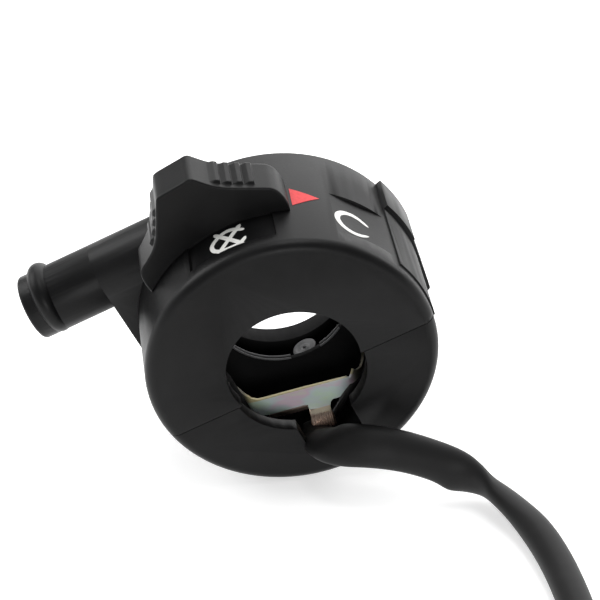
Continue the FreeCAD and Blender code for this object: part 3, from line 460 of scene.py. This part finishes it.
zincPlan = {
    "stops": [(0.28, (0.74, 0.80, 0.50, 1)), (0.40, (0.64, 0.80, 0.66, 1)),
              (0.50, (0.66, 0.76, 0.76, 1)), (0.60, (0.77, 0.62, 0.71, 1)),
              (0.72, (0.74, 0.77, 0.62, 1))],
    "burr": (0.62, 0.55, 0.30, 1),
    "legs": (0.24, 0.23, 0.18, 1),  # painted shade: the two bent ends are coloured darker than the plate
    "legSides": (-0.0102, -0.0092, 0.0082, 0.0094),  # across the plate, where that starts
    "burrLow": -0.01215,  # where the yellow of the upper edge starts and is full
    "burrHigh": -0.01185,
    "roughness": 0.36,
    "metallic": 0.1,
    "patches": (150.0, 3.0, 0.6, (0.7, 1.0, 1.5)),  # noise: the last is its stretch
    "drift": (420.0, 2.0, 0.5),
    "driftShare": 0.2,
    "scratch": (2200.0, 2.0, 0.6, (1.0, 0.2, 0.2)),
    "scratchRough": 0.16,
    "scratchDepth": 0.00001,
    "scratchStrength": 0.4,
}


# zinc plate with a passivated skin: patches of green, blue and pink, yellow at the upper
# edge, and painted shade that darkens the two bent ends
def passivatedZinc(name, plan, upward, aside):
    finish = Finish(name, Metallic=plan["metallic"])
    patches, drift = finish.noise(*plan["patches"]), finish.noise(*plan["drift"])
    blend = patches * (1 - plan["driftShare"]) + drift * plan["driftShare"]
    skin = finish.node("ShaderNodeValToRGB", {"stops": plan["stops"]}, (blend,))
    across, sides = finish.along(aside), plan["legSides"]
    middle = across.between(*sides[:2]) * (1 - across.between(*sides[2:]))
    burr = finish.along(upward).between(plan["burrLow"], plan["burrHigh"])
    scratch = finish.noise(*plan["scratch"])
    skin = finish.mixed(burr, skin, plan["burr"])
    # outside the middle of the plate the bent ends take a darker colour: painted shade
    finish.set(Base_Color=finish.mixed(middle, plan["legs"], skin),
               Roughness=plan["roughness"] + scratch * plan["scratchRough"],
               Normal=finish.bump(scratch, plan["scratchDepth"], plan["scratchStrength"]))
    return finish.material


metalPlan = {
    "lines": (3000.0, 2.0, 0.6),
    "lineDepth": 0.000006,
    "lineStrength": 0.5,
    "dull": (260.0, 3.0),
    "dullEdges": (0.45, 0.8),
    "dullTone": 0.72,
    "dullRough": 0.12,
}


# bare metal: fine lines, and patches that have gone a little dull
def bareMetal(name, colour, roughness, plan=metalPlan):
    finish = Finish(name, Metallic=1.0)
    lines, dull = finish.noise(*plan["lines"]), finish.noise(*plan["dull"])
    finish.set(Base_Color=finish.mixed(dull.between(*plan["dullEdges"]), colour,
                                       shade(colour, plan["dullTone"])),
               Roughness=roughness + dull * plan["dullRough"],
               Normal=finish.bump(lines, plan["lineDepth"], plan["lineStrength"]))
    return finish.material


vinylPlan = {
    "waves": (320.0, 3.0, 0.55),
    "waveDepth": 0.00006,
    "waveStrength": 0.45,
    "dust": (90.0, 4.0, 0.6),
    "dustEdges": (0.45, 0.8),
    "dustTone": (1.4, 0.0015),  # times the colour, and added to it
    "dustRough": 0.18,
}


# soft vinyl or nylon: satin, with faint ripples and dusty patches
def softVinyl(name, colour, roughness, specular=0.4, plan=vinylPlan):
    finish = Finish(name, Specular_IOR_Level=specular)
    waves, dust = finish.noise(*plan["waves"]), finish.noise(*plan["dust"])
    finish.set(Base_Color=finish.mixed(dust.between(*plan["dustEdges"]), colour,
                                       shade(colour, *plan["dustTone"])),
               Roughness=roughness + (dust - 0.5) * plan["dustRough"],
               Normal=finish.bump(waves, plan["waveDepth"], plan["waveStrength"]))
    return finish.material


paintPlan = {
    "roughness": 0.55,
    "specular": 0.35,
    "chalk": (1600.0, 3.0, 0.6),
    "chalkEdges": (0.35, 0.75),
    "chalkTone": 0.86,
    "chalkRough": 0.15,
    "chalkDepth": 0.000015,
    "chalkStrength": 0.4,
}


# paint: even, a little chalky in places
def markPaint(name, colour, plan=paintPlan):
    finish = Finish(name, Specular_IOR_Level=plan["specular"])
    chalk = finish.noise(*plan["chalk"])
    finish.set(Base_Color=finish.mixed(chalk.between(*plan["chalkEdges"]), colour,
                                       shade(colour, plan["chalkTone"])),
               Roughness=plan["roughness"] + chalk * plan["chalkRough"],
               Normal=finish.bump(chalk, plan["chalkDepth"], plan["chalkStrength"]))
    return finish.material


plateTurn = math.radians(13.4)  # the bracket's plate leans this far inside the housing
plateAcross = np.array([math.cos(plateTurn), 0.0, math.sin(plateTurn)])
plateRise = np.array([-math.sin(plateTurn), 0.0, math.cos(plateTurn)])

materials = {
    "shell_plastic": mouldedBlack("shellPlastic", plasticPlan),
    "knob_plastic": mouldedBlack("knobPlastic", plasticPlan, tone=0.85),
    "inner_plastic": softVinyl("naturalNylon", (0.62, 0.60, 0.54, 1), 0.45),
    "base_board": softVinyl("brownBoard", (0.16, 0.07, 0.03, 1), 0.5),
    "screw_steel": bareMetal("platedSteel", (0.62, 0.61, 0.58, 1), 0.26),
    "spring_steel": bareMetal("springSteel", (0.55, 0.55, 0.56, 1), 0.22),
    "contact_brass": bareMetal("contactBrass", (0.80, 0.56, 0.22, 1), 0.26),
    "bracket_zinc": passivatedZinc("passivatedZinc", zincPlan, plateRise, plateAcross),
    "sleeve_pvc": softVinyl("sleeveVinyl", (0.0100, 0.0100, 0.0102, 1), 0.52, 0.16),
    "lead_black": softVinyl("blackWire", (0.012, 0.012, 0.012, 1), 0.38),
    "lead_green": softVinyl("greenWire", (0.02, 0.16, 0.05, 1), 0.38),
    "tie_plastic": softVinyl("tieNylon", (0.02, 0.02, 0.02, 1), 0.34),
    "boot_pvc": softVinyl("bootVinyl", (0.52, 0.52, 0.48, 1), 0.28),
}
whitePaint = markPaint("whitePaint", (0.78, 0.78, 0.75, 1))
redPaint = markPaint("redPaint", (0.66, 0.045, 0.05, 1))
tongueCopper = bareMetal("tongueCopper", (0.84, 0.66, 0.55, 1), 0.34)
# a lighter copy of the black shell plastic: a painted highlight on the boss cap and the rib's
# edges
ribPlastic = softVinyl("ribPlastic", (0.070, 0.070, 0.072, 1), 0.45, 0.3)


def dress(piece, material):
    piece.data.materials.clear()
    piece.data.materials.append(material)


for node, piece in frame["nodes"].items():
    dress(piece, materials[slotOf[node]])
for piece in cords:
    dress(piece, materials[piece["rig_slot"]])
print("materials made")


# rigid nodes: a merged copy with its flat faces joined and its edges softened

edgePlan = {
    # node: width of its rounded edges in millimetres
    "widths": {"upper_shell": 0.22, "lower_shell": 0.22, "cable_guide_pipe": 0.15},
    "segments": 2,
    "sharp": 28,  # edges that turn by more degrees than this are rounded
    "flat": 0.4,  # faces that differ by fewer degrees than this are joined
    "merge": 2e-6,
}


def soften(piece, width, sharp=edgePlan["sharp"]):
    bevel = piece.modifiers.new("softEdges", "BEVEL")
    bevel.width, bevel.segments = width * mm, edgePlan["segments"]
    bevel.limit_method, bevel.angle_limit = "ANGLE", math.radians(sharp)
    bevel.harden_normals = True
    bevel.use_clamp_overlap = True


def softened(node, width):
    mesh = frame["nodes"][node].data.copy()
    shell = bmesh.new()
    shell.from_mesh(mesh)
    bmesh.ops.remove_doubles(shell, verts=shell.verts, dist=edgePlan["merge"])
    bmesh.ops.dissolve_limit(shell, angle_limit=math.radians(edgePlan["flat"]),
                             verts=shell.verts, edges=shell.edges)
    shell.to_mesh(mesh)
    shell.free()
    mesh.shade_smooth()
    words = node.split("_")
    piece = bpy.data.objects.new(words[0] + "".join(word.title() for word in words[1:]), mesh)
    bpy.context.scene.collection.objects.link(piece)
    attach(piece, bodyOf[node])
    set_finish(piece, slotOf[node])
    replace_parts(piece, node)
    dress(piece, materials[slotOf[node]])
    soften(piece, width)


for node, width in edgePlan["widths"].items():
    softened(node, width)
print("edges softened")


# the kill knob: its outline carried through its thickness, with raised saw teeth

knobPlan = {
    "turn": 30.1,  # its middle line, from upright, in degrees
    "front": 9.65,
    "thick": 7.9,
    "thinning": [(-12.4, 0.88), (-9.5, 1.0)],  # along the knob, share of its thickness
    "frontRound": 0.3,
    "backRound": 0.6,
    "footRound": 0.25,  # share of that rounding along its foot
    "gap": 0.06,  # between its foot and the drum
    "outline": [(-14.0, 20.05), (-14.05, 21.6), (-13.9, 23.0), (-13.55, 24.2), (-12.8, 24.95),
                (-11.3, 25.8), (-9.6, 26.95), (-8.1, 28.4), (-6.8, 30.25), (-5.5, 32.3),
                (-4.3, 34.2), (-3.75, 34.85), (-2.9, 35.05), (-1.6, 35.07), (0.0, 35.08),
                (1.3, 35.09), (2.1, 35.1), (2.75, 34.9), (3.35, 34.15), (4.6, 32.35),
                (5.9, 30.95), (7.4, 29.75), (8.9, 28.7), (10.3, 27.75), (11.6, 26.85),
                (12.5, 26.1), (13.05, 25.15), (13.3, 23.9), (13.3, 22.4), (12.95, 21.0)],
    "spacing": 0.1,
    "firstTooth": 7.9,  # along the outline from the middle of its top
    "toothPitch": 1.85,
    "teeth": 4,
    "toothHeight": 0.5,
    "toothRise": 0.5,  # shares of a tooth that its slope and its step take
    "toothFall": 0.12,
    "toothFront": 10.7,
    "toothBack": 17.0,
    "toothEnd": 0.22,  # distance over which a tooth starts and ends
}


# a closed outline carried from low to high: at depth d it is drawn in by
# round * (1 - sin a) where d = low + round * (1 - cos a), a from 0 to a right angle,
# and the same at the far end; share scales that for each point, and lift pushes points
# outwards along the outline's normal
def carried(name, outline, low, high, rounds, place, body, lift=None, share=1.0, rows=46,
            roundSteps=6, capInset=0.06):
    ahead = np.roll(outline, -1, axis=0) - np.roll(outline, 1, axis=0)
    normal = np.stack([ahead[:, 1], -ahead[:, 0]], 1)
    normal /= np.linalg.norm(normal, axis=1, keepdims=True)
    nextSpot = np.roll(outline, -1, axis=0)
    area = np.sum(outline[:, 0] * nextSpot[:, 1] - nextSpot[:, 0] * outline[:, 1])
    normal *= np.sign(area)
    quarter = np.linspace(0, math.pi / 2, roundSteps)
    first, last = rounds
    depth = np.concatenate([[low], low + first * (1 - np.cos(quarter)),
                            np.linspace(low + first, high - last, rows)[1:-1],
                            high - last * (1 - np.cos(quarter[::-1])), [high]])
    inset = np.concatenate([[first + capInset], first * (1 - np.sin(quarter)),
                            np.zeros(rows - 2), last * (1 - np.sin(quarter[::-1])),
                            [last + capInset]])
    count = len(outline)
    out = (lift(depth[:, None]) if lift else 0.0) - inset[:, None] * share
    spots = outline[None] + normal[None] * np.broadcast_to(out, (len(depth), count))[:, :, None]
    points = place(spots, np.broadcast_to(depth[:, None], spots.shape[:2]))
    faces = gridFaces(len(depth), count, wrapColumns=True)
    # each end is a strip between the outline's first half and its second half, turned round
    for start in (0, (len(depth) - 1) * count):
        faces += [[start + step, start + step + 1, start + count - 2 - step,
                   start + count - 1 - step] for step in range(count // 2 - 1)]
    piece = addMesh(name, points.reshape(-1, 3), faces, body)
    outward(piece)
    return piece


def makeKnob(plan):
    turn = math.radians(plan["turn"])
    under = drumRadius + plan["gap"]

    # nothing of the knob goes below the gap above the drum, and its far end is thinner,
    # clear of the pipe's block
    def place(spots, depth):
        raised = spots * np.maximum(1, under / np.linalg.norm(spots, axis=-1, keepdims=True))
        x, z = raised[..., 0], raised[..., 1]
        thinned = np.interp(x, *np.array(plan["thinning"]).T)
        deep = plan["front"] + (depth - plan["front"]) * thinned
        return np.stack([x * math.cos(turn) - z * math.sin(turn), deep,
                         x * math.sin(turn) + z * math.cos(turn)], -1)

    crest = flowing(plan["outline"])
    crest = evenly(crest, int(travelled(crest)[-1] / plan["spacing"]))
    ends = [math.atan2(crest[index, 1], crest[index, 0]) for index in (-1, 0)]
    sweep = np.linspace(ends[0], ends[1], len(crest))
    foot = np.stack([under * np.cos(sweep), under * np.sin(sweep)], 1)
    outline = np.vstack([crest, foot])
    # a tooth: up its slope, level, and down its step, over one pitch of the crest
    along = travelled(crest)
    middle = along[np.argmin(np.abs(crest[:, 0]))]
    fromTop = np.abs(along - middle) - plan["firstTooth"] + plan["toothPitch"]
    saw = np.mod(fromTop / plan["toothPitch"], 1.0)
    saw = np.minimum(1, np.minimum(saw / plan["toothRise"], (1 - saw) / plan["toothFall"]))
    saw[(fromTop < 0) | (fromTop > plan["teeth"] * plan["toothPitch"])] = 0
    saw = np.concatenate([saw, np.zeros(len(foot))]) * plan["toothHeight"]

    def lift(depth):
        inside = np.minimum(depth - plan["toothFront"], plan["toothBack"] - depth)
        return saw[None, :] * np.clip(inside / plan["toothEnd"], 0, 1)

    share = np.concatenate([np.ones(len(crest)), np.full(len(foot), plan["footRound"])])
    knob = carried("killKnob", outline, plan["front"], plan["front"] + plan["thick"],
                   (plan["frontRound"], plan["backRound"]), place, "slider", lift, share)
    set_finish(knob, "knob_plastic")
    dress(knob, materials["knob_plastic"])
    return knob


neckPlan = {
    "wide": 3.9,
    "long": 3.6,
    "round": 0.5,
    "sides": 64,
    "low": 20.9,  # distances from the bar's axis
    "high": 25.2,
    "ends": (0.15, 0.15),  # rounding at its two ends
    "rows": 8,
}


# the neck goes down through the slot in the shell to the slide carrier
def makeNeck(plan):
    turn, middle = math.radians(knobPlan["turn"]), knobPlan["front"] + knobPlan["thick"] / 2
    sweep = np.linspace(0, 2 * math.pi, plan["sides"], endpoint=False)
    corner = np.stack([np.cos(sweep), np.sin(sweep)], 1)
    half = np.array([plan["wide"], plan["long"]]) / 2 - plan["round"]
    outline = np.sign(corner) * half + corner * plan["round"]

    def place(spots, depth):
        x, z = spots[..., 0], depth
        return np.stack([x * math.cos(turn) - z * math.sin(turn), middle + spots[..., 1],
                         x * math.sin(turn) + z * math.cos(turn)], -1)

    neck = carried("knobNeck", outline, plan["low"], plan["high"], plan["ends"], place,
                   "slider", rows=plan["rows"])
    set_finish(neck, "knob_plastic")
    dress(neck, materials["knob_plastic"])
    return neck


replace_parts(makeKnob(knobPlan), "kill_knob")
makeNeck(neckPlan)
print("knob made")


# the cable bracket: bent sheet, its plate in (across, rise) on the plane y = 9

bracketPlan = {
    "thick": 0.45,
    "edge": 0.1,  # width of its rounded edges
    "bendSteps": 220,
    "riseSteps": 12,
    # the sheet seen from above: across, y
    "bend": [(-13.7, 18.0), (-13.4, 15.6), (-12.3, 13.3), (-11.3, 11.6), (-10.3, 9.9),
             (-9.5, 9.15), (-8.3, 9.0), (-4.0, 9.0), (0.0, 9.0), (4.0, 9.0), (7.3, 9.0),
             (8.1, 9.1), (8.9, 9.6), (9.6, 10.5), (10.6, 12.4), (11.4, 15.0), (11.7, 18.0)],
    "top": [(-13.7, -10.2), (-12.3, -9.5), (-11.6, -9.75), (-9.5, -10.6), (-8.92, -11.2),
            (-7.99, -11.72), (-6.74, -11.78), (0.34, -11.79), (7.7, -11.95), (8.15, -12.4),
            (8.5, -12.2), (9.2, -11.3), (9.6, -12.2), (10.6, -13.2), (11.7, -13.4)],
    "bottom": [(-13.7, -13.6), (-12.3, -13.4), (-11.6, -13.8), (-9.75, -13.3), (-8.0, -15.36),
               (-7.15, -15.54), (-0.53, -15.53), (-0.02, -15.7), (0.04, -16.8), (3.6, -17.3),
               (3.9, -16.3), (4.4, -15.85), (5.65, -15.83), (6.81, -14.61), (7.81, -13.7),
               (9.3, -13.9), (11.7, -14.6)],
    "stripEdge": 0.06,
    "lineSteps": 90,
    # the two strips under the plate: where they lie across it, their line seen from the
    # side in (y, rise), and their ribs
    "strips": {
        "Tongue": {"sides": (-0.05, 3.6), "acrossSteps": 91, "thick": 0.5,
                   "ribs": 9, "ribDepth": 0.09,
                   "line": [(10.6, -16.4), (9.6, -16.9), (8.6, -16.95), (7.7, -17.1),
                            (7.0, -17.6), (6.4, -18.4), (6.1, -19.1)]},
        "Foot": {"sides": (-6.9, -0.25), "acrossSteps": 12, "thick": 0.4,
                 "ribs": 0, "ribDepth": 0.0,
                 "line": [(9.6, -15.85), (9.55, -16.4), (9.7, -17.1)]},
    },
}


def onPlate(spots):
    across, depth, rise = (spots[..., axis, None] for axis in range(3))
    return across * plateAcross + rise * plateRise + depth * np.array([0.0, 1.0, 0.0])


# a sheet: a grid of (across, y, rise) spots, and the same grid pushed back by the
# thickness along its own normal, joined round the rim
def sheet(name, grid, thick, material, edge, sharp=40):
    alongRows, alongColumns = np.gradient(grid, axis=0), np.gradient(grid, axis=1)
    normal = np.cross(alongRows, alongColumns)
    normal /= np.linalg.norm(normal, axis=2, keepdims=True)
    normal *= np.sign(normal[..., 1:2].sum())
    rows, columns = grid.shape[:2]
    points = np.vstack([onPlate(grid).reshape(-1, 3),
                        onPlate(grid + normal * thick).reshape(-1, 3)])
    front = gridFaces(rows, columns)
    backFaces = [[index + rows * columns for index in reversed(face)] for face in front]
    piece = addMesh(name, points, front + backFaces + rimFaces(rows, columns))
    outward(piece)
    soften(piece, edge, sharp)
    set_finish(piece, "bracket_zinc")
    dress(piece, material)
    return piece


# the plate: at each place along the bend, rise = bottom + share * (top - bottom); a strip:
# its line carried across, with depth * sin(2 pi * ribs * share) taken from its y
def makeBracket(plan):
    bend = evenly(flowing(plan["bend"]), plan["bendSteps"])
    top, bottom = (np.interp(bend[:, 0], *np.array(plan[key]).T) for key in ("top", "bottom"))
    share = np.linspace(0, 1, plan["riseSteps"])[:, None]
    rise = bottom + share * (top - bottom)
    grid = np.stack(np.broadcast_arrays(bend[:, 0], bend[:, 1], rise), -1)
    plate = sheet("bracketPlate", grid, plan["thick"], materials["bracket_zinc"], plan["edge"])
    for name, strip in plan["strips"].items():
        line = evenly(flowing(strip["line"]), plan["lineSteps"])
        across = np.linspace(*strip["sides"], strip["acrossSteps"])[None, :]
        share = np.linspace(0, 1, strip["acrossSteps"])[None, :]
        ribs = strip["ribDepth"] * np.sin(2 * math.pi * strip["ribs"] * share)
        grid = np.stack(np.broadcast_arrays(across, line[:, :1] - ribs, line[:, 1:]), -1)
        sheet("bracket" + name, grid, strip["thick"], tongueCopper, plan["stripEdge"])
    return plate


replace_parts(makeBracket(bracketPlan), "cable_bracket")
print("bracket made")


# details inside the housing: the ringed top of the boss and the edges of the rib, both
# with a painted highlight, and the lip in the seam between the two shells

insidePlan = {
    "lean": 25.0,  # how far the housing and its seam are turned about the bar, in degrees
    "bossPlace": (-1.0, 21.6, -13.2),  # in the housing's own upright frame
    # the cap's section: distance from its axis, height
    "cap": [(0.0, 0.0), (0.35, 0.0), (0.55, 0.14), (0.8, 0.14), (0.98, 0.02), (1.38, 0.02),
            (1.56, 0.16), (2.0, 0.16), (2.2, 0.05), (2.2, -0.3), (0.0, -0.3)],
    "capSides": 56,
    "ribReach": 11.85,
    "ribEdges": (18.05, 18.85),
    "ribArcs": [(-137.0, -81.0), (-54.0, -30.0)],  # degrees, with a gap at the boss
    "ribRadius": 0.18,
    "ribSteps": 60,
    "ribSides": 12,
    # the lip keeps light out of the seam: from the axis, along the bar, below and above
    "lip": ((22.65, 23.15), (3.0, 26.0), (-0.5, 0.5)),
}


def leaning(plan):
    lean = math.radians(plan["lean"])
    return np.array([[math.cos(lean), 0, math.sin(lean)], [0, 1, 0],
                     [-math.sin(lean), 0, math.cos(lean)]])


# a section turned about the boss's axis: the place + r cos(t) X + r sin(t) Y + h Z
def makeCap(plan):
    section = np.array(plan["cap"])
    turn = np.linspace(0, 2 * math.pi, plan["capSides"], endpoint=False)[None, :]
    reach, height = section[:, :1], section[:, 1:] + 0 * turn
    local = np.stack([reach * np.cos(turn), reach * np.sin(turn), height], -1)
    points = (local + plan["bossPlace"]) @ leaning(plan)
    cap = addMesh("bossCap", points.reshape(-1, 3),
                  gridFaces(len(section), plan["capSides"], wrapColumns=True))
    outward(cap)
    return cap


# each edge is a thin tube along reach cos(t) X + reach sin(t) Z at its place on the bar
def makeRibEdge(name, plan, arc, depth):
    angle = np.radians(np.linspace(*arc, plan["ribSteps"]))
    line = np.stack([plan["ribReach"] * np.cos(angle), np.full(plan["ribSteps"], depth),
                     plan["ribReach"] * np.sin(angle)], 1) * mm
    radius = plan["ribRadius"] * mm
    return tube(name, line, radius, radius, sides=plan["ribSides"])


def makeLip(name, plan, side):
    spots = np.array([[side * x, y, z] for x in plan["lip"][0] for y in plan["lip"][1]
                      for z in plan["lip"][2]])
    faces = [(0, 1, 3, 2), (4, 6, 7, 5), (0, 4, 5, 1), (2, 3, 7, 6), (0, 2, 6, 4), (1, 5, 7, 3)]
    lip = addMesh(name, spots @ leaning(plan), faces, smooth=False)
    outward(lip)
    return lip


def makeInside(plan):
    highlightPainted = [makeCap(plan)]
    for number, arc in enumerate(plan["ribArcs"]):
        for side, depth in enumerate(plan["ribEdges"]):
            highlightPainted.append(makeRibEdge("ribEdge%d%d" % (number, side), plan, arc, depth))
    dark = [makeLip("seamLip%d" % (side > 0), plan, side) for side in (-1, 1)]
    # the cap and the rib's edges take the lighter plastic, a painted highlight; the lips keep the
    # shell's own
    for pieces, material in ((highlightPainted, ribPlastic), (dark, materials["shell_plastic"])):
        for piece in pieces:
            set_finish(piece, "shell_plastic")
            dress(piece, material)


makeInside(insidePlan)
print("inside details made")


# painted marks: ribbons that follow the panels

markPlan = {
    "thick": 0.05,
    "sunk": 0.06,  # how far the paint's edges go into the panel
    "crossRise": 0.012,  # each stroke of the cross lies a little higher than the last
    # how far across a stroke its rows lie, and how blunt its two ends are
    "rows": (-1.0, -1.0, -0.86, 0.86, 1.0, 1.0),
    "rowHeight": 0.6,
    "bluntness": 14,
    "endWidth": 0.04,
    "offRadius": 23.9,  # the OFF panel's round floor
    "offLoop": [(107.1, 7.7), (108.8, 8.1), (111.4, 8.7), (114.3, 8.9), (117.4, 8.45),
                (120.1, 7.5), (121.2, 6.6), (120.7, 5.5), (118.9, 4.7), (116.0, 4.25),
                (113.5, 4.15), (110.2, 4.3), (108.4, 4.9), (107.1, 5.7)],
    "offCross": [[(108.3, 9.4), (113.6, 6.6), (119.1, 4.0)],
                 [(119.6, 9.5), (114.0, 6.65), (108.2, 3.75)]],
    "offWidth": (0.78, 0.78),  # at a stroke's ends, in its middle
    "runTurn": 59.0,  # which way the RUN panel's flat floor faces
    "runReach": 23.822,
    "runLoop": [(1.5, 10.3), (0.4, 11.2), (-0.65, 11.8), (-1.8, 11.95), (-3.2, 11.55),
                (-4.35, 10.4), (-4.7, 8.95), (-4.25, 7.65), (-3.3, 6.75), (-2.0, 6.35),
                (-0.6, 6.5), (1.05, 7.3)],
    "runWidth": (0.62, 1.02),
    "arrow": [(87.1, 16.3), (87.2, 11.3), (76.1, 13.7)],  # its base and its tip
    "arrowSteps": (25, 9),
}


# a place on the round drum: angle in degrees about the bar, distance along it
def onDrum(radius, spots, height=0.0):
    angle, along = np.radians(spots[..., 0]), spots[..., 1]
    reach = radius + height
    return np.stack([reach * np.cos(angle), along + 0 * reach, reach * np.sin(angle)], -1)


# a place on a flat that faces one way: distance across it, distance along the bar
def onFlat(turn, reach, spots, height=0.0):
    angle = math.radians(turn)
    out = np.array([math.cos(angle), 0, math.sin(angle)])
    across = np.array([math.sin(angle), 0, -math.cos(angle)])
    shaped = np.asarray(height + reach)[..., None] * out + spots[..., 0:1] * across
    return shaped + spots[..., 1:2] * np.array([0.0, 1.0, 0.0])


# a band along a line on a surface: six rows, the outer two sunk below the surface; its
# width goes from the ends' to the middle's as 1 - share^2, share from -1 to 1 along it,
# and is drawn in at its two ends as the root of 1 - |share|^bluntness
def ribbon(name, line, width, scale, onSurface, thick, material, plan=markPlan):
    line = flowing(line)
    ahead = np.gradient(line, axis=0) * scale
    ahead /= np.linalg.norm(ahead, axis=1, keepdims=True)
    aside = np.stack([-ahead[:, 1], ahead[:, 0]], 1) / scale
    share = np.linspace(-1, 1, len(line))
    broad = width[0] + (width[1] - width[0]) * (1 - share ** 2)
    blunt = np.clip(1 - np.abs(share) ** plan["bluntness"], plan["endWidth"], 1)
    half = broad / 2 * np.sqrt(blunt)
    offsets, edge = np.array(plan["rows"]), plan["rowHeight"] * thick
    heights = np.array([-plan["sunk"], edge, thick, thick, edge, -plan["sunk"]])
    spots = line[:, None, :] + aside[:, None, :] * (half[:, None] * offsets)[:, :, None]
    points = onSurface(spots, np.broadcast_to(heights, spots.shape[:2]))
    count = len(offsets)
    faces = gridFaces(len(line), count, wrapColumns=True)
    faces += [list(range(count)),
              [(len(line) - 1) * count + step for step in reversed(range(count))]]
    piece = addMesh(name, points.reshape(-1, 3), faces, smooth=False)
    outward(piece)
    dress(piece, material)


def makeMarks(plan):
    thick = plan["thick"]

    def offSurface(spots, height):
        return onDrum(plan["offRadius"], spots, height)

    def runSurface(spots, height):
        return onFlat(plan["runTurn"], plan["runReach"], spots, height)

    offScale = np.array([math.radians(1) * plan["offRadius"], 1.0])
    ribbon("offMarkLoop", plan["offLoop"], plan["offWidth"], offScale, offSurface, thick,
           whitePaint)
    for index, stroke in enumerate(plan["offCross"]):
        ribbon("offMarkStroke%d" % index, stroke, plan["offWidth"], offScale, offSurface,
               thick + plan["crossRise"] * (index + 1), whitePaint)
    ribbon("runMarkLoop", plan["runLoop"], plan["runWidth"], np.array([1.0, 1.0]), runSurface,
           thick, whitePaint)
    # the arrow: a triangle divided into strips from its tip to its base
    base, corner, tip = (np.array(place) for place in plan["arrow"])
    rows, columns = plan["arrowSteps"]
    share = np.linspace(0, 1, rows)[:, None, None]
    across = np.linspace(0, 1, columns)[None, :, None]
    spots = tip + share * (base + across * (corner - base) - tip)
    points = np.vstack([onDrum(drumRadius, spots, np.full((rows, columns), height)).reshape(-1, 3)
                        for height in (thick, -plan["sunk"])])
    top = gridFaces(rows, columns)
    under = [[index + rows * columns for index in reversed(face)] for face in top]
    piece = addMesh("runArrow", points, top + under + rimFaces(rows, columns), smooth=False)
    outward(piece, merge=1e-7)
    dress(piece, redPaint)


makeMarks(markPlan)
print("marks painted")


# floor, lamps and world

studioPlan = {
    "floorSize": 6.0,
    "floorColour": (0.80, 0.80, 0.80, 1),
    "floorRoughness": 0.9,
    "floorSpecular": 0.1,
    "floorLift": 0.5,  # what the camera sees on top of the lit floor
    "glossyLift": 1.7,  # and how many times that the glossy surfaces see
    "worldColour": (1.0, 1.0, 1.0, 1),
    "worldStrength": 0.33,
    # name, place, aim, size in metres, watts
    "lamps": [("overBack", (0.28, 0.95, 0.62), (0.0, 0.0, 0.0), 1.4, 12.0),
              ("backLeft", (-0.80, 0.45, 0.60), (0.0, 0.0, 0.0), 0.8, 9.0),
              ("backRight", (0.95, 0.50, 0.38), (0.0, 0.0, 0.0), 0.6, 6.0),
              ("overhead", (0.10, 0.15, 1.00), (0.0, 0.0, 0.0), 0.5, 4.0),
              ("frontFill", (0.05, -0.90, 0.32), (0.0, 0.0, 0.0), 0.35, 3.0)],
}


def makeStudio(plan):
    bpy.ops.mesh.primitive_plane_add(size=plan["floorSize"], location=(0, 0, floorHeight))
    floor = bpy.context.object
    floor.name = "studioFloor"
    finish = Finish("studioFloor", Base_Color=plan["floorColour"],
                    Roughness=plan["floorRoughness"], Specular_IOR_Level=plan["floorSpecular"])
    camera, glossy, through = (finish.node("ShaderNodeLightPath", {}, (), "Is %s Ray" % kind)
                               for kind in ("Camera", "Glossy", "Transmission"))
    seen = camera.larger(glossy * plan["glossyLift"]).larger(through)
    glow = finish.node("ShaderNodeEmission", {}, ((1, 1, 1, 1), seen * plan["floorLift"]))
    both = finish.node("ShaderNodeAddShader", {}, (Term(finish, finish.shader.outputs[0]), glow))
    finish.feed(finish.tree.nodes["Material Output"].inputs["Surface"], both)
    dress(floor, finish.material)
    for name, place, aim, size, watts in plan["lamps"]:
        lamp = bpy.data.lights.new(name, "AREA")
        lamp.shape, lamp.size, lamp.energy = "DISK", size, watts
        holder = bpy.data.objects.new(name, lamp)
        holder.location = place
        holder.rotation_euler = (Vector(aim) - Vector(place)).to_track_quat("-Z", "Y").to_euler()
        bpy.context.scene.collection.objects.link(holder)
    world = bpy.data.worlds.new("studioWorld")
    world.use_nodes = True
    world.node_tree.nodes["Background"].inputs["Color"].default_value = plan["worldColour"]
    world.node_tree.nodes["Background"].inputs["Strength"].default_value = plan["worldStrength"]
    bpy.context.scene.world = world
    bpy.context.scene.view_settings.view_transform = "Standard"


makeStudio(studioPlan)
print("studio lit")
